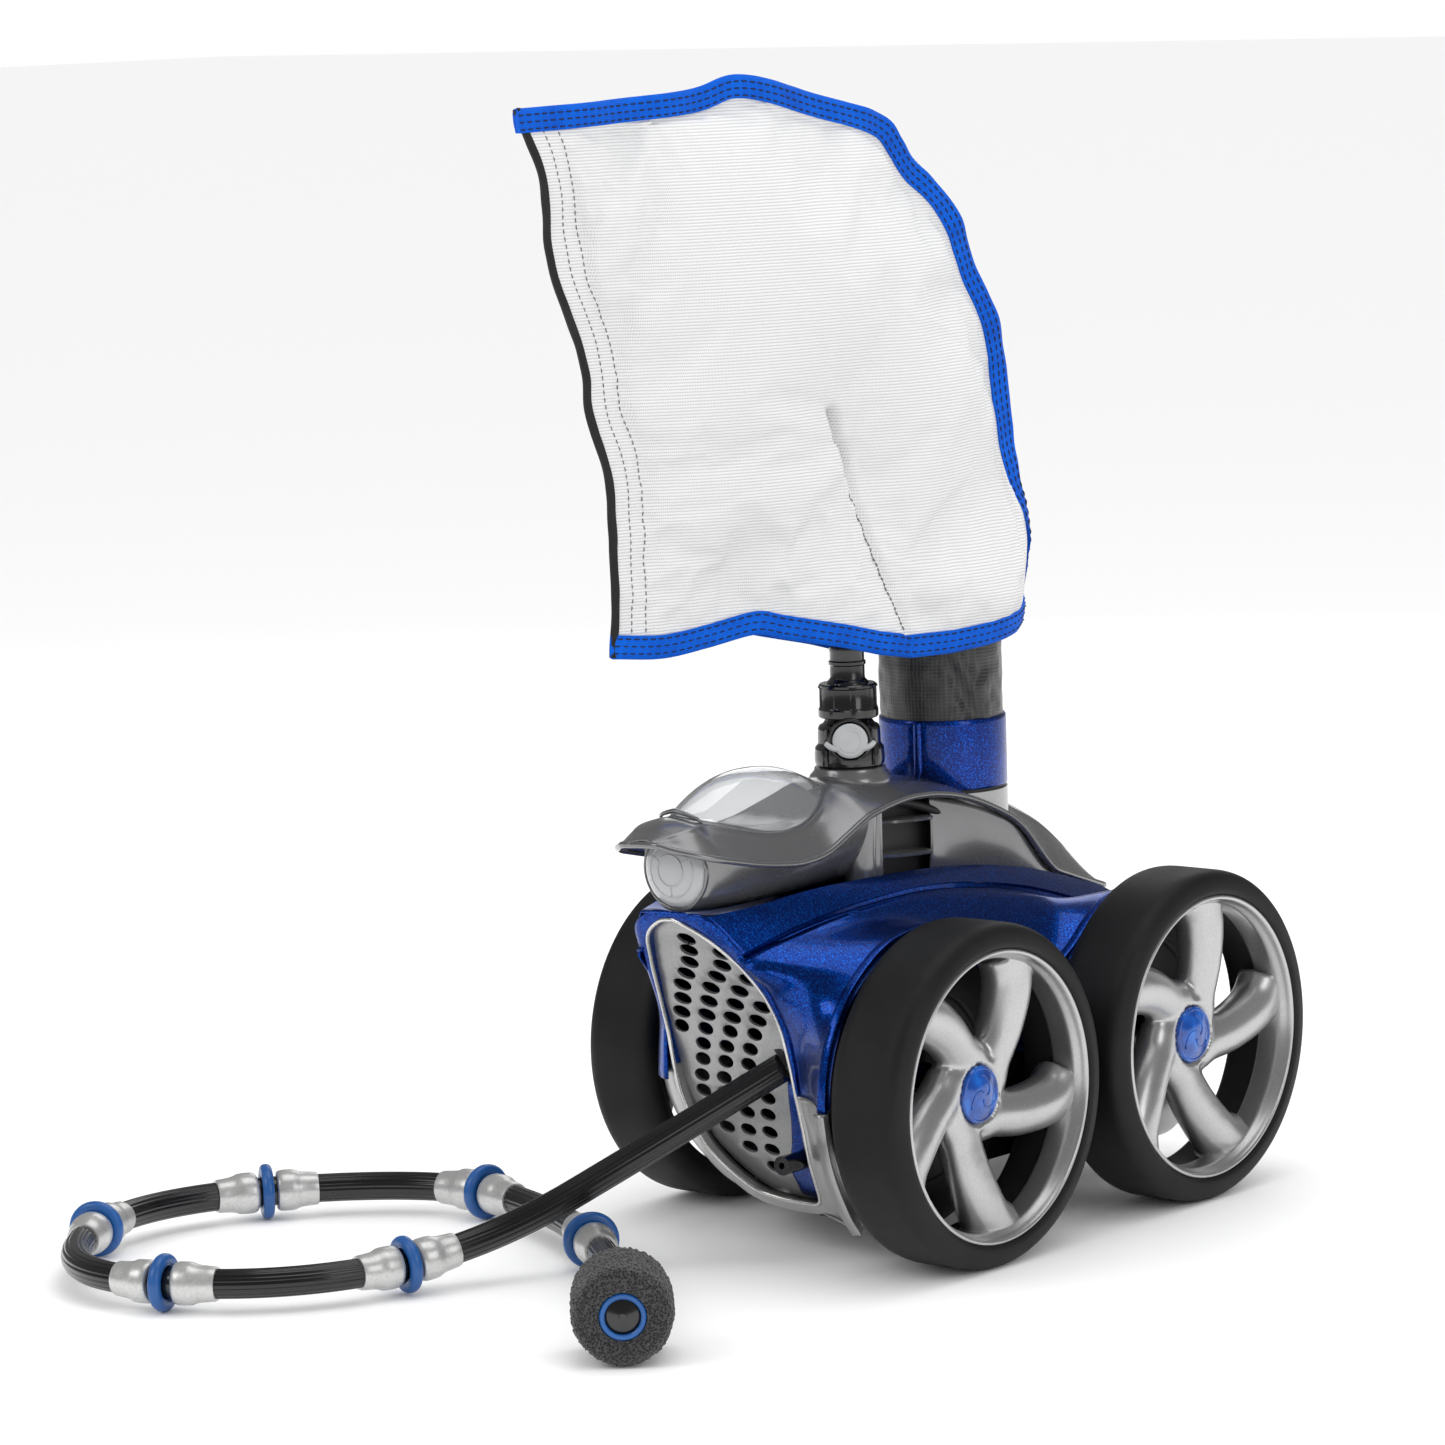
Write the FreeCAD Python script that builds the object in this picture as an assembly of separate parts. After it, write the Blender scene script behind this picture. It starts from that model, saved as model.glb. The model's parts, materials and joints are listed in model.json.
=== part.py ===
"""Pressure-side pool cleaner: three driven wheels, a debris bag and a trailing sweep hose.

Millimetres. +Z is up, the ground is Z = 0, and the grille end faces -Y. X = 0 is midway
between the outer faces of the right and left wheels. Every sub-part is written as one STEP
file to parts/NODE.step.
"""
import FreeCAD, Part
import math
import os

os.makedirs("parts", exist_ok=True)
V = FreeCAD.Vector

# ---------------------------------------------------------------- driving dimensions
WHEEL_R = 99.0                 # tyre radius, and so the height of every axle
TYRE_WIDTH = 50.0
TYRE_BORE_R = 84.0             # where the tyre grips the rim
TYRE_CHAMFER = 4.0
TRACK_OUTER = 148.0            # |X| of a wheel's outer face
WHEEL_INNER = TRACK_OUTER - TYRE_WIDTH
WHEELS = {                     # name: (side, Y of the axle)
    "front_right": (1, -78.0),
    "rear_right": (1, 132.0),
    "left": (-1, 0.0),
}
SPOKES = 5
SPOKE_R = 12.0                 # radius of a tubular spoke
RIM_WALL = 5.0
HUB_R = 20.0
AXLE_R = 6.0
RUNNING_GAP = 0.08             # radial clearance of a shaft in its bearing
BODY_GAP = 0.4                 # clearance between parts that move against each other

SPROCKET_R = 24.0
PINION_R = 8.0                 # a third of the sprocket: the turbine turns three times a wheel
CHAIN_X = (70.0, 74.0)         # the chain plane on the right side, mirrored on the left
CHAIN_THICKNESS = 3.5
TURBINE_Y, TURBINE_Z = -8.0, 140.0
TURBINE_R = 24.0
TURBINE_HOUSING_R, HOUSING_WALL = 29.0, 2.5
SHAFT_R = 4.0

TUBE_Y = 66.5                  # the vertical suction tube
TUBE_BORE_R = 32.0
TUBE_R = 34.5
TUBE_BOTTOM, TUBE_TOP = 14.0, 288.0
SOCKET_R = 38.0
SOCKET_Z = (214.0, 248.0)
COLLAR_Z = (250.0, 292.0)
NECK_TOP = 336.0
MANIFOLD_Z = 40.0
MANIFOLD_RING_R, MANIFOLD_PIPE_R = 42.0, 5.0

CONNECTOR_Y = -23.0            # feed hose quick connector, on the head
CONNECTOR_BASE_Z = (263.0, 272.0)
CONNECTOR_BASE_R = 24.0
CONNECTOR_TOP = 343.0
CONNECTOR_BORE_R = 6.0
NIPPLE_R = 10.0
BUTTON_Z = 289.0
BUTTON_HEADING = -50.0         # degrees in plan, the way the release button faces
BUTTON_TRAVEL = 2.0

SKIN = 2.5                     # wall of the moulded shells
PARTING_Z = 100.0              # lower shell below, upper shell above
FLOOR_Z = 20.0

BAG_TURN = 11.0                # degrees that the bag's plane is turned from the YZ plane
BAG_HALF_THICKNESS = 34.0
BINDING_THICKNESS = 3.0

HOSE_R = 8.5                   # sweep hose
RING_R, RING_SECTION_R = 12.6, 4.0
CUP_R, CUP_LENGTH = 12.5, 25.0
RING_HALF_GAP = 6.2            # from a wear ring's centre to the cup beside it
FOAM_R, FOAM_LENGTH = 28.3, 54.0

# Sweep hose route: control points of its centreline, from the nut to the scrubber.
HOSE_ROUTE = [
    (34, -134, 115), (-8, -183, 80), (-90, -264, 17), (-128, -392, 16.7),
    (-262, -436, 16.7), (-364, -272, 16.7), (-240, -124, 16.7), (-112, -160, 16.7),
    (12, -255, 16.7), (79, -333, 28.5),
]
RING_DISTANCES = [246.0, 390.0, 564.0, 700.0, 842.0, 998.0]   # along the hose, from the nut


# ---------------------------------------------------------------- geometry helpers
def moved(shape, x=0.0, y=0.0, z=0.0):
    """A copy of the shape, shifted."""
    result = shape.copy()
    result.translate(V(x, y, z))
    return result


def fused(shapes):
    """One solid from several, with flush faces merged."""
    first, rest = shapes[0], shapes[1:]
    return first.fuse(rest).removeSplitter() if rest else first


def box(x, y, z):
    """A box between pairs of limits along each axis."""
    return Part.makeBox(x[1] - x[0], y[1] - y[0], z[1] - z[0], V(x[0], y[0], z[0]))


def rod(start, end, radius, bore=0.0):
    """A cylinder, or a tube when it has a bore, between two points."""
    start, end = V(*start), V(*end)
    axis = end - start
    solid = Part.makeCylinder(radius, axis.Length, start, axis)
    if bore:
        solid = solid.cut(Part.makeCylinder(bore, axis.Length, start, axis))
    return solid


def pipe(points, radius):
    """A round bar through several points, with ball corners."""
    solids = [rod(a, b, radius) for a, b in zip(points, points[1:])]
    solids += [Part.makeSphere(radius, V(*p)) for p in points[1:-1]]
    return fused(solids)


def hollow_pipe(points, radius, bore):
    return pipe(points, radius).cut(pipe(points, bore))


def turned(profile, origin, axis):
    """Revolve a closed outline of (radius, height) points about an axis."""
    points = [V(r, 0, h) for r, h in profile]
    solid = Part.Face(Part.makePolygon(points + points[:1])).revolve(V(0, 0, 0), V(0, 0, 1), 360)
    solid.Placement = FreeCAD.Placement(V(*origin), FreeCAD.Rotation(V(0, 0, 1), V(*axis)))
    return solid


def skin_solid(sections):
    """A closed solid through flat outlines of equal length, with triangular side faces."""
    faces = [Part.Face(Part.makePolygon(list(ring) + [ring[0]])) for ring in (sections[0], sections[-1])]
    for low, high in zip(sections, sections[1:]):
        for i in range(len(low)):
            j = (i + 1) % len(low)
            for corners in ((low[i], low[j], high[j]), (low[i], high[j], high[i])):
                faces.append(Part.Face(Part.makePolygon(list(corners) + [corners[0]])))
    shell = Part.Shell(faces)
    shell.sewShape()
    solid = Part.Solid(shell)
    if solid.Volume < 0:
        solid.reverse()
    return solid


def inset(outline, distance):
    """Move every edge of a closed counter-clockwise 2-D outline inwards."""
    result = []
    for i, here in enumerate(outline):
        before, after = outline[i - 1], outline[(i + 1) % len(outline)]
        normals = []
        for a, b in ((before, here), (here, after)):
            length = math.hypot(b[0] - a[0], b[1] - a[1])
            normals.append((-(b[1] - a[1]) / length, (b[0] - a[0]) / length))
        (ax, ay), (bx, by) = normals
        scale = distance / (1 + ax * bx + ay * by)
        result.append((here[0] + (ax + bx) * scale, here[1] + (ay + by) * scale))
    return result


def mirrored_outline(right_half):
    """Close a right half outline, listed upwards from the bottom, with its mirror image."""
    return list(right_half) + [(-x, z) for x, z in reversed(right_half)]


def hull_plate(circles, x):
    """A plate along X whose outline is a belt stretched round circles (y, z, radius)."""
    flats = []
    for (y1, z1, r1), (y2, z2, r2) in zip(circles, circles[1:] + circles[:1]):
        heading = math.atan2(z2 - z1, y2 - y1)
        swing = math.acos((r1 - r2) / math.hypot(y2 - y1, z2 - z1))
        angle = heading - swing
        c, s = math.cos(angle), math.sin(angle)
        corners = [V(x[0], y1, z1), V(x[0], y1 + r1 * c, z1 + r1 * s),
                   V(x[0], y2 + r2 * c, z2 + r2 * s), V(x[0], y2, z2)]
        flats.append(Part.Face(Part.makePolygon(corners + corners[:1])).extrude(V(x[1] - x[0], 0, 0)))
    discs = [rod((x[0], y, z), (x[1], y, z), r) for y, z, r in circles]
    if len(circles) > 2:
        centres = [V(x[0], y, z) for y, z, r in circles]
        flats.append(Part.Face(Part.makePolygon(centres + centres[:1])).extrude(V(x[1] - x[0], 0, 0)))
    return fused(discs + flats)


# ---------------------------------------------------------------- cord route
class Route:
    """Straight runs joined by tangent arcs that are as large as their runs allow."""

    ARC_SHARE = 0.45           # of the shorter run, taken by each end of an arc

    def __init__(self, points):
        points = [V(*p) for p in points]
        self.pieces = []
        self.radii = []
        start = points[0]
        for before, corner, after in zip(points, points[1:], points[2:]):
            incoming, outgoing = (corner - before), (after - corner)
            reach = self.ARC_SHARE * min(incoming.Length, outgoing.Length)
            half_turn = incoming.getAngle(outgoing) / 2
            radius = reach / math.tan(half_turn)
            self.radii.append(radius)
            first = corner - incoming.normalize() * reach
            last = corner + outgoing.normalize() * reach
            inward = (first + last) * 0.5 - corner
            middle = corner + inward.normalize() * (radius / math.cos(half_turn) - radius)
            self.pieces.append(Part.LineSegment(start, first).toShape())
            self.pieces.append(Part.Arc(first, middle, last).toShape())
            start = last
        self.pieces.append(Part.LineSegment(start, points[-1]).toShape())
        self.wire = Part.Wire(self.pieces)
        self.length = sum(edge.Length for edge in self.pieces)

    def at(self, distance):
        """The point and the direction at a distance along the route."""
        for edge in self.pieces:
            if distance <= edge.Length:
                parameter = edge.getParameterByLength(distance)
                point, direction = edge.valueAt(parameter), edge.tangentAt(parameter)
                return point, direction
            distance -= edge.Length
        edge = self.pieces[-1]
        return edge.valueAt(edge.LastParameter), edge.tangentAt(edge.LastParameter)

    def tube(self, radius):
        start, direction = self.at(0)
        profile = Part.Wire(Part.makeCircle(radius, start, direction))
        solid = self.wire.makePipeShell([profile], True, False)
        ideal = math.pi * radius ** 2 * self.length
        print("hose length %.0f mm, volume / (section x length) %.4f" % (self.length, solid.Volume / ideal))
        print("hose arc radii, mm:", [round(r) for r in self.radii])
        return solid


# ---------------------------------------------------------------- body shells
# Cross-sections along Y: crown height, then right-hand points from the floor up.
BODY_SECTIONS = [
    (-192, [(60, FLOOR_Z), (84, 45), (88, 100), (60, 165), (24, 208), (8, 205)]),
    (-100, [(66, FLOOR_Z), (90, 45), (93, 110), (74, 180), (42, 214), (20, 206)]),
    (0, [(68, FLOOR_Z), (91, 45), (94, 110), (76, 180), (50, 213), (34, 205)]),
    (80, [(68, FLOOR_Z), (91, 45), (94, 110), (74, 168), (48, 201), (34, 193)]),
    (150, [(66, FLOOR_Z), (91, 45), (94, 110), (70, 152), (44, 183), (32, 176)]),
    (222, [(60, FLOOR_Z), (88, 45), (92, 105), (64, 128), (38, 152), (28, 148)]),
]
# Plan outlines at several heights, counter-clockwise from the front left.
BODY_PLANS = [
    (10, [(-34, -106), (54, -112), (74, -124), (90, 200), (60, 210), (-60, 210), (-90, 200), (-74, -70)]),
    (60, [(-46, -127), (46, -127), (88, -160), (96, 206), (64, 221), (-64, 221), (-96, 206), (-88, -84)]),
    (100, [(-46, -140), (46, -140), (89, -171), (96, 208), (64, 222), (-64, 222), (-96, 208), (-88, -95)]),
    (150, [(-44, -151), (44, -151), (84, -158), (96, 200), (60, 214), (-60, 214), (-96, 200), (-84, -80)]),
    (186, [(-36, -172), (36, -172), (80, -140), (96, 190), (60, 206), (-60, 206), (-96, 190), (-80, -80)]),
    (208, [(-24, -188), (24, -188), (80, -130), (96, 184), (60, 202), (-60, 202), (-96, 184), (-80, -80)]),
    (230, [(-24, -188), (24, -188), (80, -130), (96, 180), (60, 200), (-60, 200), (-96, 180), (-80, -80)]),
]
# The mouth in the front of the shells: (half width, Z), from the sill up.
MOUTH = [(38, 33), (45.5, 46), (45.5, 105), (44, 137), (40, 160), (32, 186), (20, 202)]


def body_block(wall):
    """The outer form of the body, or its inside when the wall is not zero."""
    lengthwise = []
    for y, right in BODY_SECTIONS:
        outline = inset(mirrored_outline(right), wall) if wall else mirrored_outline(right)
        lengthwise.append([V(x, y, z) for x, z in outline])
    plans = []
    for z, outline in BODY_PLANS:
        plan = inset(outline, wall) if wall else outline
        plans.append([V(x, y, z) for x, y in plan])
    return skin_solid(lengthwise).common(skin_solid(plans))


# The grille's midline: (Y, Z, half width), from the nose down to the chin.
GRILLE_LINE = [(-181, 200, 19), (-167, 184, 29), (-147, 154, 38), (-134, 117, 41), (-128, 82, 35),
               (-117, 60, 29), (-102, 40, 24)]
GRILLE_THICKNESS = 2.5
HOLE_RADIUS = 4.4
HOLE_PITCH_X, HOLE_PITCH_Z = 17.0, 9.3


def grille_opening():
    """The mouth in the front of the shells that the grille stands in."""
    corners = [V(x, -230, z) for x, z in mirrored_outline(MOUTH)]
    return Part.Face(Part.makePolygon(corners + corners[:1])).extrude(V(0, 145, 0))


def make_shells(nut_clearance):
    """The silver lower shell and the blue upper shell, with their openings."""
    wall = body_block(0).cut(body_block(SKIN))
    cuts = [grille_opening(), nut_clearance]
    for side, y in WHEELS.values():
        cuts.append(rod((side * 60, y, WHEEL_R), (side * 120, y, WHEEL_R), AXLE_R + 4))
    cuts.append(rod((0, TUBE_Y, 0), (0, TUBE_Y, 260), TUBE_R + 0.6))
    cuts.append(rod((0, CONNECTOR_Y, 180), (0, CONNECTOR_Y, 260), 7.0))
    for cut in cuts:
        wall = wall.cut(cut)
    lower = wall.common(box((-120, 120), (-260, 260), (0, PARTING_Z)))
    upper = wall.common(box((-120, 120), (-260, 260), (PARTING_Z, 260)))
    return largest(lower), largest(upper)


def largest(shape):
    """The biggest solid of a cut shape, without slivers."""
    return max(shape.Solids, key=lambda solid: solid.Volume)


def make_grille(clearances):
    """A curved plate with rows of round holes, cut clear of what passes through it."""
    def row(offset):
        return [[V(-w, y + offset, z), V(w, y + offset, z)] for y, z, w in GRILLE_LINE]
    rings = [[front[0], front[1], back[1], back[0]] for front, back in zip(row(0), row(GRILLE_THICKNESS))]
    plate = skin_solid(rings)
    holes = []
    z = GRILLE_LINE[-1][1] + 8
    while z < GRILLE_LINE[0][1] - 8:
        half = width_at(z) - HOLE_RADIUS - 3
        columns = int(half // HOLE_PITCH_X)
        for column in range(-columns, columns + 1):
            x = column * HOLE_PITCH_X
            holes.append(rod((x, -230, z), (x, -80, z), HOLE_RADIUS))
        z += HOLE_PITCH_Z
    for clearance in clearances:
        holes.append(clearance)
    return largest(plate.cut(Part.makeCompound(holes)))


def width_at(z):
    """The grille's half width at a height."""
    for (y1, z1, w1), (y2, z2, w2) in zip(GRILLE_LINE, GRILLE_LINE[1:]):
        if z2 <= z <= z1:
            return w1 + (w2 - w1) * (z1 - z) / (z1 - z2)
    return 0.0


# ---------------------------------------------------------------- head
# Stations along Y: brim half width, brim height, crown height.
COVER_STATIONS = [
    (-212, 12, 249, 254), (-203, 24, 245, 259), (-191, 33, 242, 265), (-160, 40, 237, 280),
    (-128, 42, 232, 284), (-88, 42, 236, 278), (-56, 41, 250, 270), (-10, 40, 258, 264),
    (24, 41, 253, 261), (60, 42, 238, 253), (84, 42, 220, 246), (104, 42, 201, 239),
    (126, 40, 192, 231), (156, 36, 182, 209), (182, 32, 174, 184),
]
# The bowl and the walls below the cover: half width, lowest height.
BASE_STATIONS = [
    (-180, 21, 214), (-160, 31, 210), (-120, 36, 211), (-80, 36, 212), (-50, 36, 210),
    (0, 37, 204), (60, 39, 192), (104, 39, 184),
]
WINDOW_Y, WINDOW_HALF = -121.0, (27.0, 60.0)
VENT_Y, VENT_Z = (-30.0, 24.0), (222.0, 247.0)


def cover_block(wall):
    """The solid under the cover's outer face, or under its inner one when a wall is given."""
    sections = []
    for y, w, low, top in COVER_STATIONS:
        w, top, floor = w - wall, top - wall, (low - 12 if wall else low)
        shoulder = min(low + 3 - wall, top - 1)
        rise = top - shoulder
        right = [(w, floor), (w, shoulder),
                 (0.74 * w, shoulder + 0.62 * rise), (0.38 * w, shoulder + 0.94 * rise)]
        sections.append([V(x, y, z) for x, z in mirrored_outline(right)])
    return skin_solid(sections)


def base_block(wall):
    """The solid within the base's outer face, or within its inner one when a wall is given."""
    sections = []
    for y, w, low in BASE_STATIONS:
        w, low = w - wall, low + wall
        right = [(0.45 * w, low), (0.82 * w, low + 8), (w, low + 22), (w, 300)]
        sections.append([V(x, y, z) for x, z in mirrored_outline(right)])
    return skin_solid(sections)


def make_head(body):
    """The cover with its clear window, and the base with the bowl and the vented walls."""
    socket = rod((0, TUBE_Y, 150), (0, TUBE_Y, 300), SOCKET_R + 0.5)
    riser = fused([rod((0, CONNECTOR_Y, 150), (0, CONNECTOR_Y, 300), 12.0),
                   rod((0, CONNECTOR_Y, CONNECTOR_BASE_Z[0]), (0, CONNECTOR_Y, 300), CONNECTOR_BASE_R)])
    shell = cover_block(0).cut(cover_block(SKIN)).cut(socket).cut(riser).cut(body)
    ellipse = Part.Ellipse(V(0, WINDOW_HALF[1], 0), V(-WINDOW_HALF[0], 0, 0), V(0, 0, 0))
    outline = Part.Face(Part.Wire(ellipse.toShape()))
    prism = moved(outline, 0, WINDOW_Y, 240).extrude(V(0, 0, 60))
    dome, cover = shell.common(prism), shell.cut(prism)
    under = cover_block(SKIN).common(box((-60, 60), (-260, 260), (0, 300)))
    outer = base_block(0).common(fused([under, box((-60, 60), (-182, 110), (170, 239))]))
    base = outer.cut(base_block(SKIN)).cut(cover_block(0).cut(cover_block(SKIN)))
    for cut in (body, socket, riser, box((-60, 60), VENT_Y, VENT_Z), lens_disc()):
        base = base.cut(cut)
    return largest(cover.cut(lens_disc())), largest(dome), largest(base)


LENS_Y, LENS_Z, LENS_R, LENS_THICKNESS = -184.0, 233.0, 22.0, 5.0


def lens_disc():
    """The round window at the front of the head."""
    return rod((0, LENS_Y, LENS_Z), (0, LENS_Y + LENS_THICKNESS, LENS_Z), LENS_R)


def make_float():
    """The closed-cell block that keeps the cleaner upright."""
    return box((-22, 22), (-150, -66), (222, 243))


# ---------------------------------------------------------------- water side
def make_tube():
    """The suction tube, with the wide socket that carries the bag collar."""
    profile = [(TUBE_BORE_R, TUBE_BOTTOM), (TUBE_R, TUBE_BOTTOM), (TUBE_R, SOCKET_Z[0]), (SOCKET_R, SOCKET_Z[0]),
               (SOCKET_R, SOCKET_Z[1]), (TUBE_R, SOCKET_Z[1]), (TUBE_R, TUBE_TOP), (TUBE_BORE_R, TUBE_TOP)]
    tube = turned(profile, (0, TUBE_Y, 0), (0, 0, 1))
    return tube.cut(Part.makeCompound(jet_rods()))


def jet_rods():
    """Three venturi jets from the ring manifold into the tube wall, aimed up the bore."""
    jets = []
    for turn in (30, 150, 270):
        c, s = math.cos(math.radians(turn)), math.sin(math.radians(turn))
        outer = (MANIFOLD_RING_R * c, TUBE_Y + MANIFOLD_RING_R * s, MANIFOLD_Z)
        inner = (28 * c, TUBE_Y + 28 * s, MANIFOLD_Z + 14)
        jets.append(rod(outer, inner, 2.5))
    return jets


def make_manifold():
    ring = Part.makeTorus(MANIFOLD_RING_R, MANIFOLD_PIPE_R, V(0, TUBE_Y, MANIFOLD_Z), V(0, 0, 1))
    bore = rod((0, TUBE_Y, 0), (0, TUBE_Y, 100), TUBE_BORE_R)
    return fused([ring] + [jet.cut(bore) for jet in jet_rods()])


FEED_SPLIT_Z = 190.0
BRANCH_Y = 26.6


def make_feed_pipe():
    """Water from the connector to the turbine, with a branch down to the ring manifold."""
    housing_top = TURBINE_Z + math.sqrt(TURBINE_HOUSING_R ** 2 - (CONNECTOR_Y - TURBINE_Y) ** 2)
    down = hollow_pipe([(0, CONNECTOR_Y, CONNECTOR_BASE_Z[0]), (0, CONNECTOR_Y, housing_top)], 6.0, 3.5)
    branch = pipe([(0, CONNECTOR_Y + 5, FEED_SPLIT_Z), (0, BRANCH_Y, FEED_SPLIT_Z),
                   (0, BRANCH_Y, MANIFOLD_Z + 5.6)], 3.6)
    body = rod((-30, TURBINE_Y, TURBINE_Z), (30, TURBINE_Y, TURBINE_Z), TURBINE_HOUSING_R)
    pipe_solid = fused([down, branch]).cut(body).cut(make_manifold())
    return largest(pipe_solid.cut(rod((0, CONNECTOR_Y, 170), (0, CONNECTOR_Y, 260), 3.5)))


def make_turbine_housing():
    """The round chamber, its two end walls and the foot that it stands on."""
    half = 20.0
    drum = rod((-half, TURBINE_Y, TURBINE_Z), (half, TURBINE_Y, TURBINE_Z), TURBINE_HOUSING_R)
    foot = box((-12, 12), (TURBINE_Y - 8, TURBINE_Y + 8), (FLOOR_Z + SKIN, TURBINE_Z - 20))
    inside = half - HOUSING_WALL
    room = rod((-inside, TURBINE_Y, TURBINE_Z), (inside, TURBINE_Y, TURBINE_Z), TURBINE_HOUSING_R - HOUSING_WALL)
    shaft = rod((-90, TURBINE_Y, TURBINE_Z), (90, TURBINE_Y, TURBINE_Z), SHAFT_R + RUNNING_GAP)
    inlet = rod((0, CONNECTOR_Y, TURBINE_Z), (0, CONNECTOR_Y, 200), 3.5)
    return fused([drum, foot]).cut(room).cut(shaft).cut(inlet)


def make_turbine_wheel():
    """A hub with eight paddles."""
    hub = rod((-15, TURBINE_Y, TURBINE_Z), (15, TURBINE_Y, TURBINE_Z), 8.0)
    paddles = []
    for i in range(8):
        paddle = box((-14, 14), (TURBINE_Y - 1, TURBINE_Y + 1), (TURBINE_Z + 6, TURBINE_Z + TURBINE_R))
        paddle.rotate(V(0, TURBINE_Y, TURBINE_Z), V(1, 0, 0), 45 * i)
        paddles.append(paddle)
    return fused([hub] + paddles).cut(rod((-20, TURBINE_Y, TURBINE_Z), (20, TURBINE_Y, TURBINE_Z), SHAFT_R))


def make_turbine_shaft():
    end = CHAIN_X[1] + 3
    parts = [rod((-end, TURBINE_Y, TURBINE_Z), (end, TURBINE_Y, TURBINE_Z), SHAFT_R)]
    for side in (-1, 1):
        near, far = ((side * x, TURBINE_Y, TURBINE_Z) for x in CHAIN_X)
        parts.append(rod(near, far, PINION_R))
    return fused(parts)


def make_turbine_bushes():
    return Part.makeCompound([
        rod((side * 20, TURBINE_Y, TURBINE_Z), (side * 30, TURBINE_Y, TURBINE_Z), 8.0, SHAFT_R + RUNNING_GAP)
        for side in (-1, 1)])


def make_chain(side, axle_ys):
    """A closed chain round the axle sprockets and the turbine pinion, just clear of both."""
    def loop(grow):
        circles = [(y, WHEEL_R, SPROCKET_R + grow) for y in axle_ys]
        circles.append((TURBINE_Y, TURBINE_Z, PINION_R + grow))
        x = sorted((side * CHAIN_X[0], side * CHAIN_X[1]))
        return hull_plate(circles, x)
    return loop(0.5 + CHAIN_THICKNESS).cut(loop(0.5))


# ---------------------------------------------------------------- wheels
def make_wheel(side, y):
    """Tyre, rim, hub cap and stub axle of one wheel, with the outer face away from the body."""
    origin, axis = (side * WHEEL_INNER, y, WHEEL_R), (side, 0, 0)
    c = TYRE_CHAMFER
    tyre = turned([(TYRE_BORE_R, 0), (WHEEL_R - c, 0), (WHEEL_R, c), (WHEEL_R, TYRE_WIDTH - c),
                   (WHEEL_R - c, TYRE_WIDTH), (TYRE_BORE_R, TYRE_WIDTH)], origin, axis)
    barrel_r = TYRE_BORE_R - RIM_WALL
    barrel = turned([(barrel_r, 5), (TYRE_BORE_R, 5), (TYRE_BORE_R, 48), (barrel_r, 48)], origin, axis)
    hub = turned([(AXLE_R, 8), (HUB_R, 8), (HUB_R, 33), (AXLE_R, 33)], origin, axis)
    outside = V(side * (WHEEL_INNER + 31), y, WHEEL_R)
    first = make_spoke(outside, barrel_r)
    spokes = []
    for i in range(SPOKES):
        spoke = first.copy()
        spoke.rotate(outside, V(1, 0, 0), 360.0 / SPOKES * i)
        spokes.append(spoke)
    bore = rod((0, y, WHEEL_R), (side * 200, y, WHEEL_R), AXLE_R)
    rim = fused([barrel, hub] + spokes).cut(bore)
    seat = turned([(0, 29), (16.5, 29), (16.5, 60), (0, 60)], origin, axis)
    rim = largest(rim.cut(seat))
    cap = turned([(0, 29), (16.5, 29), (16.5, 31), (12, 33), (0, 33)], origin, axis)
    shaft = rod((side * 52, y, WHEEL_R), (side * (WHEEL_INNER + 29), y, WHEEL_R), AXLE_R)
    sprocket = rod((side * CHAIN_X[0], y, WHEEL_R), (side * CHAIN_X[1], y, WHEEL_R), SPROCKET_R)
    return {"tyre": tyre, "rim": rim, "hub_cap": cap, "axle": fused([shaft, sprocket])}


def make_spoke(outside, reach):
    """A fat bent tube in the wheel's plane, from the hub round to the rim."""
    points = []
    for radius, turn in ((12, -75), (42, -24), (reach + 2, -6)):
        angle = math.radians(turn)
        points.append(outside + V(0, radius * math.cos(angle), radius * math.sin(angle)))
    path = Part.Wire(Part.Arc(*points).toShape())
    direction = path.Edges[0].tangentAt(path.Edges[0].FirstParameter)
    profile = Part.Wire(Part.makeCircle(SPOKE_R, points[0], direction))
    tube = path.makePipeShell([profile], True, False)
    limit = rod((outside.x - 40, outside.y, outside.z), (outside.x + 40, outside.y, outside.z), reach + 1)
    return tube.common(limit)


def make_bearings():
    """Pedestals that carry the stub axles, standing on the floor of the lower shell."""
    blocks = []
    for side, y in WHEELS.values():
        x = sorted((side * 54, side * 64))
        block = fused([box(x, (y - 9, y + 9), (FLOOR_Z + SKIN, WHEEL_R)),
                       rod((x[0], y, WHEEL_R), (x[1], y, WHEEL_R), 13)])
        blocks.append(block.cut(rod((0, y, WHEEL_R), (side * 90, y, WHEEL_R), AXLE_R + RUNNING_GAP)))
    return Part.makeCompound(blocks)


# ---------------------------------------------------------------- connector and bag
def make_connector():
    """The swivelling quick connector: body, nut and release button, on a fixed base ring."""
    at = (0, CONNECTOR_Y, 0)
    z0, z1 = CONNECTOR_BASE_Z
    wide = CONNECTOR_BASE_R
    base = turned([(8.4, z0), (wide, z0), (wide, z0 + 4), (wide - 4, z1), (8.4, z1)], at, (0, 0, 1))
    gap = z1 + BODY_GAP
    body = turned([(CONNECTOR_BORE_R, z0 + 1), (8.3, z0 + 1), (8.3, gap), (20.5, gap), (20.5, 279), (18.5, 281),
                   (18.5, 296), (14, 300), (12, 300), (12, 322), (NIPPLE_R, 322), (NIPPLE_R, CONNECTOR_TOP),
                   (CONNECTOR_BORE_R, CONNECTOR_TOP)], at, (0, 0, 1))
    nut = turned([(12, 301), (17.5, 301), (17.5, 306), (16, 306), (16, 320), (12, 320)], at, (0, 0, 1))
    button, pocket = make_button()
    return {"connector_base": base, "connector_body": largest(body.cut(pocket)), "connector_nut": nut,
            "release_button": button}


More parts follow.
